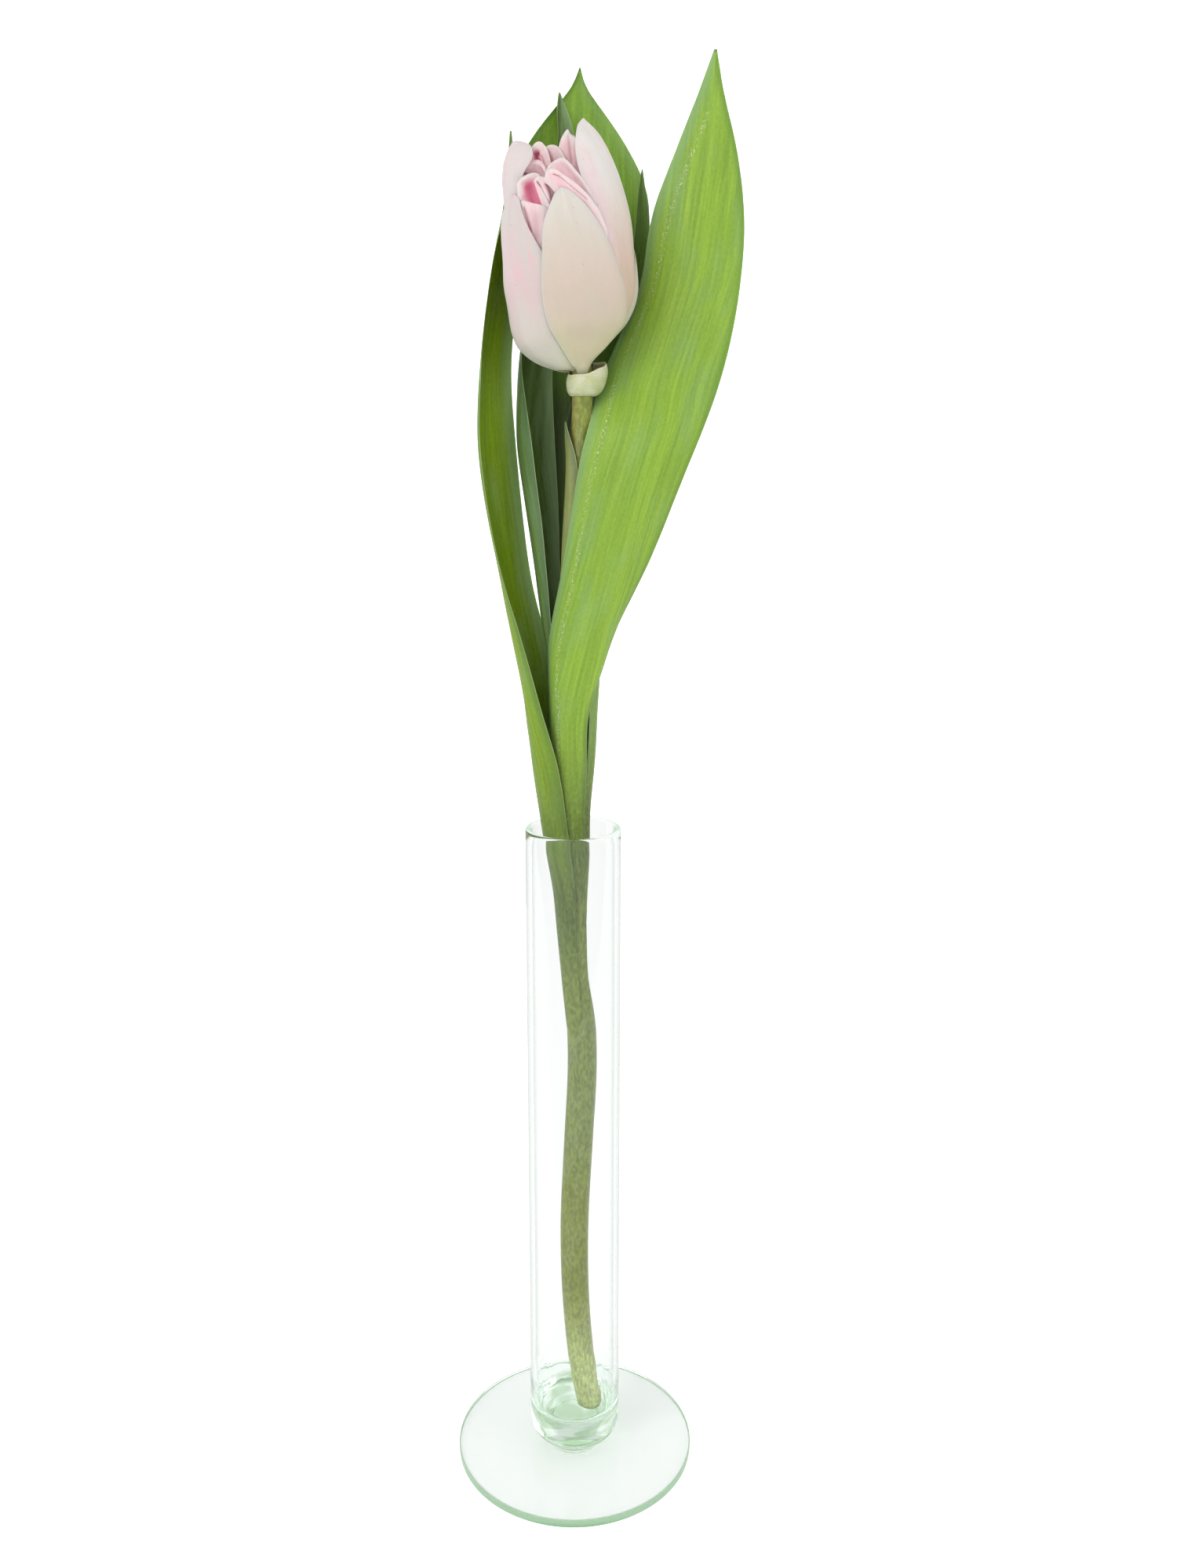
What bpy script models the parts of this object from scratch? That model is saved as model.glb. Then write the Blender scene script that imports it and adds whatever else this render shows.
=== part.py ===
"""Tulip in a glass bud vase: the construction, one closed solid for each piece.

A double tulip, cut with its own leaves, stands in a tall glass tube that is fixed to a flat
glass foot. Lengths are millimetres and angles degrees, and a mesh is turned into metres when it
is made. The origin is the centre of the underside of the foot, and +Z is up. Azimuths are seen
from above: 0 is +X and 90 is +Y, and the flower's front faces -90.
"""
import math

import bmesh
import bpy
import numpy as np

MM = 0.001                      # metres in a millimetre
SMOOTH_ANGLE = 50.0             # an edge sharper than this stays sharp

# Vase
FOOT_RADIUS = 40.3
FOOT_THICK = 3.0
FOOT_EDGE = 0.8                 # round on the edge of the foot
SEAT_GAP = 0.3                  # between the tube and the foot, and under the stem
VASE_HEIGHT = 224.0
RIM_RADIUS = 15.0
TUBE_RADIUS = 15.5              # outside, just above the heavy bottom
WALL = 2.0
HEEL_RADIUS = 5.5               # round outer corner at the bottom of the tube
FLOOR_HEIGHT = 17.0             # inside floor, above the table
FLOOR_COVE = 3.6                # round where the inside floor turns up into the wall
TURN_STEPS = 40
EDGE_STEPS = 2                  # flats across the round edge of the foot
ROUND_STEPS = 4                 # chords in each round of the tube's profile

# Stem, along its middle: height, x, y, radius. Its top, inside the bud, carries the petals.
STEM_LINE = (
    (FLOOR_HEIGHT + SEAT_GAP, 5.2, -0.8, 4.3),
    (30, 3.0, -0.5, 4.4),
    (55, 0.6, 0.2, 4.5),
    (85, 0.0, 1.0, 4.7),
    (115, 1.4, 1.8, 4.8),
    (148, 2.8, 2.7, 4.8),
    (160, 2.3, 3.0, 4.7),
    (168, 1.4, 3.4, 4.0),
    (178, 0.7, 3.7, 3.3),
    (190, 0.2, 4.0, 3.1),
    (224, -0.5, 4.9, 3.1),
    (262, -0.8, 5.0, 3.1),
    (298, 0.1, 5.0, 3.1),
    (326, 1.7, 5.0, 3.05),
    (352, 3.0, 5.0, 3.0),
    (361, 3.0, 5.0, 2.9),
    (366, 2.45, 5.0, 2.7),
    (371, 1.9, 5.0, 2.7),
)
STEM_RINGS = 36
STEM_SIDES = 12

# Leaves and petals
LEAF_THICK = 0.5
LEAF_ALONG = 22
LEAF_ACROSS = 8
STUB_ALONG = 10
STUB_ACROSS = 6
LEAST_HALF_WIDTH = 0.3          # a tip ends this wide on each side
PETAL_THICK = 0.6
PETAL_ALONG = 12
PETAL_ACROSS = 6
INNER_ALONG = 8
INNER_ACROSS = 4
PETAL_CROWD = 1.25              # above 1, a petal's rows lie closer together near its base
LAYER = 1.3                     # from one layer of petals to the next
SLOPE_STEP = 0.2                # way up a petal over which its slope is taken

# Bud. Its axis leans towards -X. An outline gives the way up a petal, then the height along the
# axis and the radius there; one side bulges low and the other rises as a cone.
BUD_BASE = (3.0, 5.0, 360.5)
BUD_LEAN = 6.0
FULL_OUTLINE = (
    (0, 0.0, 3.3), (3, 0.7, 7.0), (6, 2.0, 10.3), (9, 4.2, 13.8), (12, 7.7, 17.3),
    (16, 12.5, 19.0), (20, 20.0, 19.4), (26, 26.0, 19.9), (32, 32.0, 19.6), (42, 42.0, 18.8),
    (50, 50.0, 17.9), (56, 56.0, 16.9), (60, 60.0, 15.3), (64, 64.0, 12.6), (68, 68.0, 9.5),
)
SLIM_OUTLINE = (
    (0, 0.6, 3.3), (3, 2.6, 4.3), (6, 5.4, 7.5), (9, 8.4, 10.8), (12, 11.5, 14.2),
    (16, 15.8, 17.0), (20, 20.0, 18.4), (26, 26.0, 18.9), (32, 32.0, 18.9), (39, 39.0, 18.6),
    (47.5, 47.5, 16.9), (54, 54.0, 15.0), (61, 61.0, 12.1), (68, 68.0, 7.8),
)
FULL_SIDE = 180.0               # azimuth of the full side
FULL_REACH = (30.0, 85.0)       # it is fully so up to the first angle and ends at the second
BACK_REACH = (30.0, 80.0)       # the same, going round by the back

# Outer petals. A row gives the way up, the azimuths of the two margins, and each margin's layer.
OUTER_PETALS = (
    ("petal_front", (
        (1.2, -123, -58, 0, 0),
        (3, -122, -36, 0, 0),
        (7.5, -118, -14, 0, 0),
        (11, -118, -22, 0, 0),
        (15.5, -119, -34, 0, 0),
        (20, -119, -38.5, 0, 0),
        (25, -117.5, -45, 0, 0),
        (30, -115, -50.5, 0, 0),
        (35, -113, -58, 0, 0),
        (40, -109.5, -66.5, 0, 0),
        (44, -105, -74, 0, 0),
        (46.5, -101, -81, 0, 0),
        (47.9, -94, -90, 0, 0),
    )),
    ("petal_right", (
        (3.3, -52, 4, 1, 1),
        (8, -56, 22, 1, 1),
        (14, -52, 22, 1, 1),
        (20, -48, 20, 1, 1),
        (26, -51, 18, 1, 1),
        (30, -53.5, 14, 1, 0.95),
        (34, -57, 12, 1, 0.6),
        (40, -62, 14, 1, 0.1),
        (48, -69, 18, 0.8, 0),
        (54, -72, 19, 0.5, 0),
        (60, -68.5, 14, 0.3, 0),
        (63.5, -60, 4, 0.1, 0),
        (66, -46, -10, 0, 0),
        (67, -33, -21, 0, 0),
    )),
    ("petal_front_left", (
        (0.5, 170, 208, 0.9, 1),
        (4, 168, 240, 0.4, 1),
        (9, 170, 252, 0, 1),
        (15, 172, 256, 0, 1),
        (25, 175, 257, 0, 1),
        (33, 179, 252, 0, 0.9),
        (38, 183, 238.5, 0, 0.7),
        (42, 189, 230, 0, 0.4),
        (45.5, 200, 225, 0, 0.2),
        (48.2, 216, 221, 0, 0),
    )),
    ("petal_left", (
        (1.0, 162, 196, 1.9, 2),
        (5, 148, 226, 1.6, 1.95),
        (10, 142, 238, 1.6, 1.95),
        (20, 140, 243, 1.6, 2),
        (32, 140, 243, 1.5, 2),
        (40, 142, 243, 1.3, 1.9),
        (46, 144, 243, 1.1, 1.5),
        (52, 147, 242, 0.5, 1),
        (56, 150, 239, 0.1, 0.8),
        (59.5, 157, 233, -0.2, 0.5),
        (61.5, 168, 226, -0.3, 0.3),
        (62.3, 180, 216, -0.3, 0.2),
    )),
    ("petal_back_right", (
        (0.6, 12, 58, 0, 0),
        (4, -6, 72, 0, 0),
        (8, -9, 80, 0, 0),
        (15, -6, 82, 0, 0),
        (22, -4, 82, 0, 0),
        (27, 2, 80, 0, 0),
        (30, 8, 79, 0, 0),
        (34, 17, 77, 0, 0),
        (39, 26, 73, 0, 0),
        (44, 36, 68, 0, 0),
        (48, 44, 60, 0, 0),
        (50, 50, 53, 0, 0),
    )),
    ("petal_back_left", (
        (1.0, 108, 150, 0, 0),
        (4, 86, 160, 0.6, 0),
        (8, 72, 164, 1, 0),
        (15, 66, 166, 1, 0),
        (25, 66, 167, 1, 0),
        (34, 69, 165, 1, 0),
        (42, 77, 158, 0.8, 0),
        (48, 88, 148, 0.4, 0),
        (52, 100, 136, 0.2, 0),
        (54.5, 114, 120, 0, 0),
    )),
    ("petal_back", (
        (4.0, 62, 98, 2, 2),
        (8, 46, 112, 2, 2),
        (16, 42, 116, 2, 2),
        (28, 42, 116, 2, 2),
        (40, 46, 112, 2, 2),
        (48, 52, 106, 1.6, 1.6),
        (54, 61, 98, 1, 1),
        (57, 70, 91, 0.8, 0.8),
        (58.5, 78, 84, 0.7, 0.7),
    )),
)

# Inner petals: layer, azimuth of the middle, half width, way up at the base and at the top
INNER_PETALS = (
    (3.1, -126, 20, 4.6, 45.5),
    (3, -76, 22, 4.8, 54.0),
    (3, -12, 27, 4.8, 57.0),
    (3, 68, 30, 4.8, 54.0),
    (3, 136, 26, 4.2, 56.0),
    (4.1, -106, 18, 5.4, 52.5),
    (4.1, -153, 19, 2.6, 58.0),
    (4.1, -62, 20, 5.6, 64.0),
    (4.1, 30, 32, 5.6, 58.0),
    (4.1, 104, 26, 5.6, 57.0),
    (5.2, -158, 22, 3.6, 61.5),
    (5.2, -100, 20, 6.7, 60.5),
)

# An inner petal's outline: the share of its rise, and of its half width there
INNER_SHAPE = ((0, 0.75), (0.25, 0.95), (0.6, 1.0), (0.85, 0.85), (0.95, 0.55), (1.0, 0.16))

# The curled bract: height, radius, and the x of its ring's middle
BRACT_RINGS = (
    (353.8, 3.6, 3.1),
    (355.4, 4.8, 3.5),
    (357.6, 5.5, 4.1),
    (359.0, 5.4, 4.5),
    (360.0, 5.0, 4.6),
)
BRACT_SLIT = 76.0               # azimuth of the slit between its two margins
BRACT_GAP = 16.0                # the slit's width, as an angle
BRACT_RISE = 2.2                # how much higher the rim is on the right
BRACT_ALONG = 6
BRACT_ACROSS = 14

# The middle of the flower, as heights along the bud's axis and radii
PISTIL = ((10.9, 1.5), (14, 1.8), (22, 2.1), (29, 1.7), (31, 2.6), (33, 2.8), (34, 2.0))
PISTIL_SIDES = 12
PISTIL_LOBES = 3
PISTIL_LOBE_DEPTH = 0.18        # share of the radius
STAMENS = 6
STAMEN_FOOT = (11.0, 2.5)       # height along the axis, distance from it
STAMEN_TOP = (31.0, 5.6)
STAMEN_RADII = (0.4, 0.45, 0.4, 0.9, 1.05, 0.9, 0.4)
STAMEN_SIDES = 8

# Colours, linear RGB
GLASS_TINT = (0.82, 0.93, 0.87)
STEM_GREEN = (0.30, 0.36, 0.12)
LEAF_GREEN = (0.16, 0.30, 0.07)
LEAF_BLOOM = (0.17, 0.29, 0.16)
PETAL_CREAM = (0.78, 0.68, 0.58)
PETAL_PINK = (0.84, 0.48, 0.56)
BRACT_CREAM = (0.55, 0.58, 0.34)
PISTIL_GREEN = (0.42, 0.50, 0.20)
ANTHER_YELLOW = (0.55, 0.42, 0.10)


# Curves and surfaces

def curve_through(rows, at):
    """Values on the smooth curve through rows, whose first column is the key, at the keys given.

    Each stretch is a cubic that keeps the rows' values, with slopes averaged from its neighbours.
    """
    rows = np.asarray(rows, float)
    key = rows[:, 0]
    value = rows[:, 1:]
    step = np.diff(key)[:, None]
    slope = np.diff(value, axis=0) / step
    tangent = np.empty_like(value)
    tangent[0] = slope[0]
    tangent[-1] = slope[-1]
    tangent[1:-1] = (slope[:-1] * step[1:] + slope[1:] * step[:-1]) / (step[1:] + step[:-1])
    at = np.asarray(at, float).ravel()
    i = np.clip(np.searchsorted(key, at, side="right") - 1, 0, len(key) - 2)
    f = ((at - key[i]) / (key[i + 1] - key[i]))[:, None]
    h = step[i]
    start = (2 * f**3 - 3 * f**2 + 1) * value[i] + (f**3 - 2 * f**2 + f) * h * tangent[i]
    end = (3 * f**2 - 2 * f**3) * value[i + 1] + (f**3 - f**2) * h * tangent[i + 1]
    return start + end


def stem_middle(height):
    """The x and y of the stem's middle at a height."""
    x, y, _ = curve_through(STEM_LINE, [height])[0]
    return x, y


# A leaf is a list of sections, one for each height given. A section is an arc: the height, the x
# and y of the midrib, the azimuth that its back faces, its curvature, and its length on each side.

def ring_section(height, centre, radius, facing, left, right):
    """An arc round a centre; left and right are the angles that it covers from the midrib."""
    a = math.radians(facing)
    x = centre[0] + radius * math.cos(a)
    y = centre[1] + radius * math.sin(a)
    left_width = math.radians(left) * radius
    right_width = math.radians(right) * radius
    return (height, x, y, facing, 1 / radius, left_width, right_width)


def clasp_section(height, radius, facing, left, right):
    """An arc round the stem, where a leaf's base clasps it."""
    return ring_section(height, stem_middle(height), radius, facing, left, right)


def margin_section(height, left, right, bulge):
    """An arc between two margins, given as (x, y), that stands out from their chord by bulge."""
    run = math.hypot(right[0] - left[0], right[1] - left[1])
    out_x = (right[1] - left[1]) / run
    out_y = -(right[0] - left[0]) / run
    x = (left[0] + right[0]) / 2 + out_x * bulge
    y = (left[1] + right[1]) / 2 + out_y * bulge
    half_angle = 2 * math.atan2(2 * bulge, run)
    curvature = math.sin(half_angle) / (run / 2)
    half_width = half_angle / curvature
    facing = math.degrees(math.atan2(out_y, out_x))
    return (height, x, y, facing, curvature, half_width, half_width)


def leaf_points(sections, u, v):
    """Points of a leaf; u runs from -1 to 1 across it and v from 0 to 1 up it.

    At each height the section's arc runs sideways from the midrib by u half widths.
    """
    rows = np.array(sections, float)
    rows[:, 3] = np.degrees(np.unwrap(np.radians(rows[:, 3])))
    height = rows[0, 0] + (rows[-1, 0] - rows[0, 0]) * v
    x, y, facing, curvature, left, right = curve_through(rows, height).T
    half = np.maximum(np.where(u < 0, left, right), LEAST_HALF_WIDTH)
    turn = curvature * u * half
    sideways = np.sin(turn) / curvature
    inwards = (1 - np.cos(turn)) / curvature
    a = np.radians(facing)
    x = x - np.sin(a) * sideways - np.cos(a) * inwards
    y = y + np.cos(a) * sideways - np.sin(a) * inwards
    return np.stack((x, y, height), axis=-1)


def fullness(azimuth):
    """1 on the bud's full side, easing to 0 on its slim side."""
    turn = (azimuth - FULL_SIDE + 180) % 360 - 180
    front = (FULL_REACH[1] - turn) / (FULL_REACH[1] - FULL_REACH[0])
    back = (BACK_REACH[1] + turn) / (BACK_REACH[1] - BACK_REACH[0])
    share = np.clip(np.where(turn > 0, front, back), 0, 1)
    return share**2 * (3 - 2 * share)


def bud_outline(way, azimuth):
    """Height along the axis and radius, at a way up a petal and an azimuth."""
    share = fullness(azimuth)[:, None]
    full = curve_through(FULL_OUTLINE, way)
    slim = curve_through(SLIM_OUTLINE, way)
    return (full * share + slim * (1 - share)).T


def bud_points(way, azimuth, depth):
    """World points at a depth under the bud's outline, measured square to it."""
    height, radius = bud_outline(way, azimuth)
    low = bud_outline(np.maximum(way - SLOPE_STEP, 0), azimuth)
    high = bud_outline(way + SLOPE_STEP, azimuth)
    rise, spread = (high - low) / np.hypot(*(high - low))
    height = height + depth * spread
    radius = radius - depth * rise
    lean = math.radians(BUD_LEAN)
    a = np.radians(azimuth)
    side = radius * np.cos(a)
    x = BUD_BASE[0] + side * math.cos(lean) - height * math.sin(lean)
    y = BUD_BASE[1] + radius * np.sin(a)
    z = BUD_BASE[2] + side * math.sin(lean) + height * math.cos(lean)
    return np.stack((x, y, z), axis=-1)


def petal_points(rows, u, v):
    """Points of a petal; u runs from -1 to 1 across it and v from 0 to 1 up it.

    A row holds the way up, the azimuths of the two margins and the layers at which they lie.
    """
    rows = np.asarray(rows, float)
    way = rows[0, 0] + (rows[-1, 0] - rows[0, 0]) * v**PETAL_CROWD
    first, last, first_layer, last_layer = curve_through(rows, way).T
    share = (u + 1) / 2
    azimuth = first + (last - first) * share
    layer = first_layer + (last_layer - first_layer) * share
    return bud_points(way, azimuth, layer * LAYER)


# Meshes

def colour_material(name, colour, roughness):
    """A Principled material of one colour."""
    material = bpy.data.materials.new(name)
    material.use_nodes = True
    shader = material.node_tree.nodes["Principled BSDF"]
    shader.inputs["Base Color"].default_value = (*colour, 1)
    shader.inputs["Roughness"].default_value = roughness
    material.diffuse_color = (*colour, 1)
    return material


def glass_material(name):
    """Faintly green soda glass."""
    material = colour_material(name, GLASS_TINT, 0.02)
    shader = material.node_tree.nodes["Principled BSDF"]
    shader.inputs["Transmission Weight"].default_value = 1.0
    shader.inputs["IOR"].default_value = 1.5
    return material


def add_piece(name, mesh, collection, material):
    """Link a mesh as one smooth-shaded piece with its material."""
    mesh.materials.append(material)
    piece = bpy.data.objects.new(name, mesh)
    collection.objects.link(piece)
    mesh.shade_smooth()
    mesh.set_sharp_from_angle(angle=math.radians(SMOOTH_ANGLE))
    return piece


def add_sheet(name, surface, across, along, thick, collection, material):
    """A grid laid on a surface of u and v, made a closed shell by Solidify."""
    grid = bmesh.new()
    bmesh.ops.create_grid(grid, x_segments=across, y_segments=along, size=1.0)
    flat = np.array([vert.co[:2] for vert in grid.verts])
    points = surface(flat[:, 0], (flat[:, 1] + 1) / 2) * MM
    for vert, point in zip(grid.verts, points):
        vert.co = point
    mesh = bpy.data.meshes.new(name)
    grid.to_mesh(mesh)
    grid.free()
    piece = add_piece(name, mesh, collection, material)
    shell = piece.modifiers.new("thickness", "SOLIDIFY")
    shell.thickness = thick * MM
    shell.offset = 0.0
    return piece


def add_turned(name, profile, collection, material):
    """A solid turned round Z from a profile of (radius, height) that ends down its outer side."""
    points = [(radius * MM, 0, height * MM) for radius, height in profile]
    edges = [(i, i + 1) for i in range(len(points) - 1)]
    mesh = bpy.data.meshes.new(name)
    mesh.from_pydata(points, edges, [])
    piece = add_piece(name, mesh, collection, material)
    screw = piece.modifiers.new("turn", "SCREW")
    screw.steps = TURN_STEPS
    screw.render_steps = TURN_STEPS
    screw.use_merge_vertices = True
    screw.merge_threshold = 0.00001
    return piece


def add_rod(name, centres, radii, sides, collection, material, lobes=0, lobe_depth=0.0):
    """A solid of level rings round a line of centres, with a flat cap at each end."""
    turn = np.linspace(0, 2 * math.pi, sides, endpoint=False)
    solid = bmesh.new()
    rings = []
    for (x, y, z), radius in zip(centres, radii):
        reach = radius * (1 + lobe_depth * np.cos(lobes * turn))
        corners = zip((x + reach * np.cos(turn)) * MM, (y + reach * np.sin(turn)) * MM)
        rings.append([solid.verts.new((a, b, z * MM)) for a, b in corners])
    for low, high in zip(rings, rings[1:]):
        for k in range(sides):
            n = (k + 1) % sides
            solid.faces.new((low[k], low[n], high[n], high[k]))
    solid.faces.new(list(reversed(rings[0])))
    solid.faces.new(rings[-1])
    mesh = bpy.data.meshes.new(name)
    solid.to_mesh(mesh)
    solid.free()
    return add_piece(name, mesh, collection, material)


def arc_points(centre, radius, start, end):
    """Points on an arc, from one angle to another, both included."""
    angles = np.radians(np.linspace(start, end, ROUND_STEPS + 1))
    return [(centre[0] + radius * math.cos(a), centre[1] + radius * math.sin(a)) for a in angles]


# Vase

def make_foot(collection, glass):
    """The flat round foot, with its edge rounded."""
    middle = (0, 0, FOOT_THICK / 2 * MM)
    bpy.ops.mesh.primitive_cylinder_add(
        vertices=TURN_STEPS, radius=FOOT_RADIUS * MM, depth=FOOT_THICK * MM, location=middle)
    foot = bpy.context.object
    foot.name = "vase_foot"
    for owner in foot.users_collection:
        owner.objects.unlink(foot)
    collection.objects.link(foot)
    foot.data.materials.append(glass)
    edge = foot.modifiers.new("edge", "BEVEL")
    edge.width = FOOT_EDGE * MM
    edge.segments = EDGE_STEPS
    foot.data.shade_smooth()
    foot.data.set_sharp_from_angle(angle=math.radians(SMOOTH_ANGLE))


def make_tube(collection, glass):
    """The tube: a heavy rounded bottom, a thin wall and a fire-polished rim."""
    bottom = FOOT_THICK + SEAT_GAP
    inside = TUBE_RADIUS - WALL
    floor_middle = (inside - FLOOR_COVE, FLOOR_HEIGHT + FLOOR_COVE)
    rim_middle = (RIM_RADIUS - WALL / 2, VASE_HEIGHT - WALL / 2)
    heel_middle = (TUBE_RADIUS - HEEL_RADIUS, bottom + HEEL_RADIUS)
    profile = [(0, FLOOR_HEIGHT)]
    profile += arc_points(floor_middle, FLOOR_COVE, -90, 0)
    profile += arc_points(rim_middle, WALL / 2, 180, 0)
    profile += arc_points(heel_middle, HEEL_RADIUS, 0, -90)
    profile += [(0, bottom)]
    add_turned("vase_tube", profile, collection, glass)


# Stem and leaves

def make_stem(collection, green):
    """The stem, from its cut end on the vase's floor to the top that carries the petals."""
    heights = np.linspace(STEM_LINE[0][0], STEM_LINE[-1][0], STEM_RINGS)
    x, y, radii = curve_through(STEM_LINE, heights).T
    centres = np.stack((x, y, heights), axis=-1)
    add_rod("stem", centres, radii, STEM_SIDES, collection, green)


def right_leaf():
    """The broad leaf that stands up on the right and shows its back."""
    clasp = [
        clasp_section(180, 3.95, -92, 80, 75),
        clasp_section(190, 4.7, -92, 70, 62),
        clasp_section(204, 5.5, -92, 64, 48),
        clasp_section(214, 6.25, -92, 62, 44),
        clasp_section(224, 6.3, -92, 60, 42),
        ring_section(245, (-0.6, 4.7), 6.7, -92, 80, 50),
        ring_section(262, (-0.4, 4.6), 6.9, -92, 79, 54),
    ]
    blade = [
        margin_section(275, (-7.3, 3.5), (10.0, 3.2), 7.2),
        margin_section(283, (-6.7, 3.0), (12.8, 3.0), 6.8),
        margin_section(298, (-4.2, 1.3), (19.2, 1.0), 6.2),
        margin_section(312, (-2.0, 0.4), (25.0, -1.0), 5.5),
        margin_section(326, (0.3, 0.0), (30.7, -2.0), 5.0),
        margin_section(341, (3.7, 0.0), (37.1, -2.5), 4.6),
        margin_section(346, (5.7, 0.9), (39.0, -1.8), 4.5),
        margin_section(350, (7.5, 5.4), (40.3, -1.0), 4.4),
        margin_section(354, (8.2, 9.9), (41.8, 0.0), 4.35),
        margin_section(358, (9.2, 11.7), (43.1, 1.3), 4.3),
        margin_section(364, (10.8, 13.2), (44.8, 3.0), 4.2),
        margin_section(371, (13.8, 14.8), (46.4, 4.6), 4.0),
        margin_section(378, (17.0, 16.2), (47.7, 6.0), 3.8),
        margin_section(386, (20.0, 15.0), (48.8, 7.3), 3.5),
        margin_section(403, (22.9, 13.0), (49.8, 9.0), 3.0),
        margin_section(420, (29.2, 13.0), (47.7, 10.5), 1.8),
        margin_section(436, (35.4, 12.6), (43.5, 12.0), 0.5),
        margin_section(448, (40.2, 12.3), (41.0, 12.3), 0.02),
    ]
    return clasp + blade


def left_leaf():
    """The outermost leaf, which leans out to the left and shows its face."""
    clasp = [
        clasp_section(166, 4.75, 190, 88, 88),
        clasp_section(180, 5.0, 190, 88, 88),
        clasp_section(190, 5.55, 190, 88, 88),
        clasp_section(204, 6.4, 190, 88, 88),
        ring_section(213, (-1.3, 4.6), 7.05, 190, 88, 88),
        ring_section(224, (-2.8, 4.5), 7.1, 189.5, 89, 89),
        ring_section(237, (-4.5, 4.6), 7.3, 189, 87, 90),
        ring_section(247, (-5.5, 4.7), 7.5, 188, 90, 84),
        ring_section(256, (-6.4, 4.8), 7.7, 180, 98, 78),
        ring_section(266, (-7.2, 4.9), 8.0, 172, 97, 70),
        ring_section(280, (-9.5, 5.0), 8.4, 168, 90, 63),
        ring_section(293, (-10.9, 5.0), 9.5, 166, 72, 52),
        ring_section(306, (-11.7, 5.0), 11.0, 160, 58, 44),
    ]
    blade = [
        margin_section(319, (-15.4, 16.5), (-24.5, 1.5), 4.2),
        margin_section(341, (-17.3, 17.0), (-27.4, 0.0), 4.0),
        margin_section(363, (-18.6, 19.0), (-26.1, 3.5), 3.4),
        margin_section(381, (-17.0, 22.0), (-24.2, 8.0), 2.8),
        margin_section(398, (-16.0, 23.0), (-21.8, 13.0), 2.0),
        margin_section(413, (-16.5, 23.0), (-19.2, 18.0), 1.0),
        margin_section(428.5, (-17.8, 21.0), (-18.2, 20.4), 0.02),
    ]
    return clasp + blade


def folded_leaf():
    """The leaf behind on the left, folded lengthwise like a gutter."""
    clasp = [
        clasp_section(214, 4.55, 172, 68, 68),
        clasp_section(224, 4.6, 172, 68, 68),
        clasp_section(250, 4.7, 170, 70, 68),
        ring_section(270, (-0.9, 5.6), 5.3, 162, 76, 62),
    ]
    blade = [
        margin_section(288, (-3.0, 13.0), (-6.7, 5.5), 4.8),
        margin_section(305, (-4.2, 17.5), (-8.1, 6.0), 5.5),
        margin_section(315, (-4.4, 20.0), (-9.1, 7.0), 6.5),
        margin_section(330, (-5.0, 22.5), (-11.0, 8.0), 7.5),
        margin_section(341, (-5.6, 24.5), (-12.1, 9.0), 8.0),
        margin_section(352, (-6.0, 25.0), (-13.7, 12.5), 6.8),
        margin_section(364, (-6.3, 25.5), (-15.1, 17.0), 5.0),
        margin_section(378, (-3.0, 27.0), (-14.0, 21.5), 3.6),
        margin_section(392, (1.0, 27.3), (-11.5, 23.8), 3.0),
        margin_section(410, (2.0, 26.2), (-7.0, 23.2), 2.8),
        margin_section(425, (1.4, 23.8), (-4.0, 20.8), 2.4),
        margin_section(433, (-0.9, 23.9), (-3.9, 22.3), 1.2),
        margin_section(439.5, (-3.3, 24.0), (-3.8, 23.7), 0.02),
    ]
    return clasp + blade


def small_leaf():
    """The small leaf behind on the right."""
    clasp = [
        clasp_section(214, 4.55, 12, 58, 58),
        clasp_section(224, 4.6, 12, 58, 58),
        clasp_section(250, 4.7, 12, 60, 58),
        ring_section(270, (-0.3, 5.6), 5.0, 20, 62, 58),
    ]
    blade = [
        margin_section(295, (5.7, 6.6), (-0.6, 12.0), 3.0),
        margin_section(320, (8.5, 10.0), (-1.8, 17.0), 2.6),
        margin_section(350, (12.5, 14.5), (-1.4, 22.0), 2.4),
        margin_section(370, (18.0, 16.2), (8.0, 23.5), 1.6),
        margin_section(385, (21.3, 16.6), (15.0, 23.5), 1.2),
        margin_section(403, (22.9, 17.0), (18.9, 22.0), 0.8),
        margin_section(412, (21.8, 17.8), (19.2, 21.0), 0.4),
        margin_section(418, (20.6, 19.3), (20.3, 19.8), 0.02),
    ]
    return clasp + blade


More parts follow.
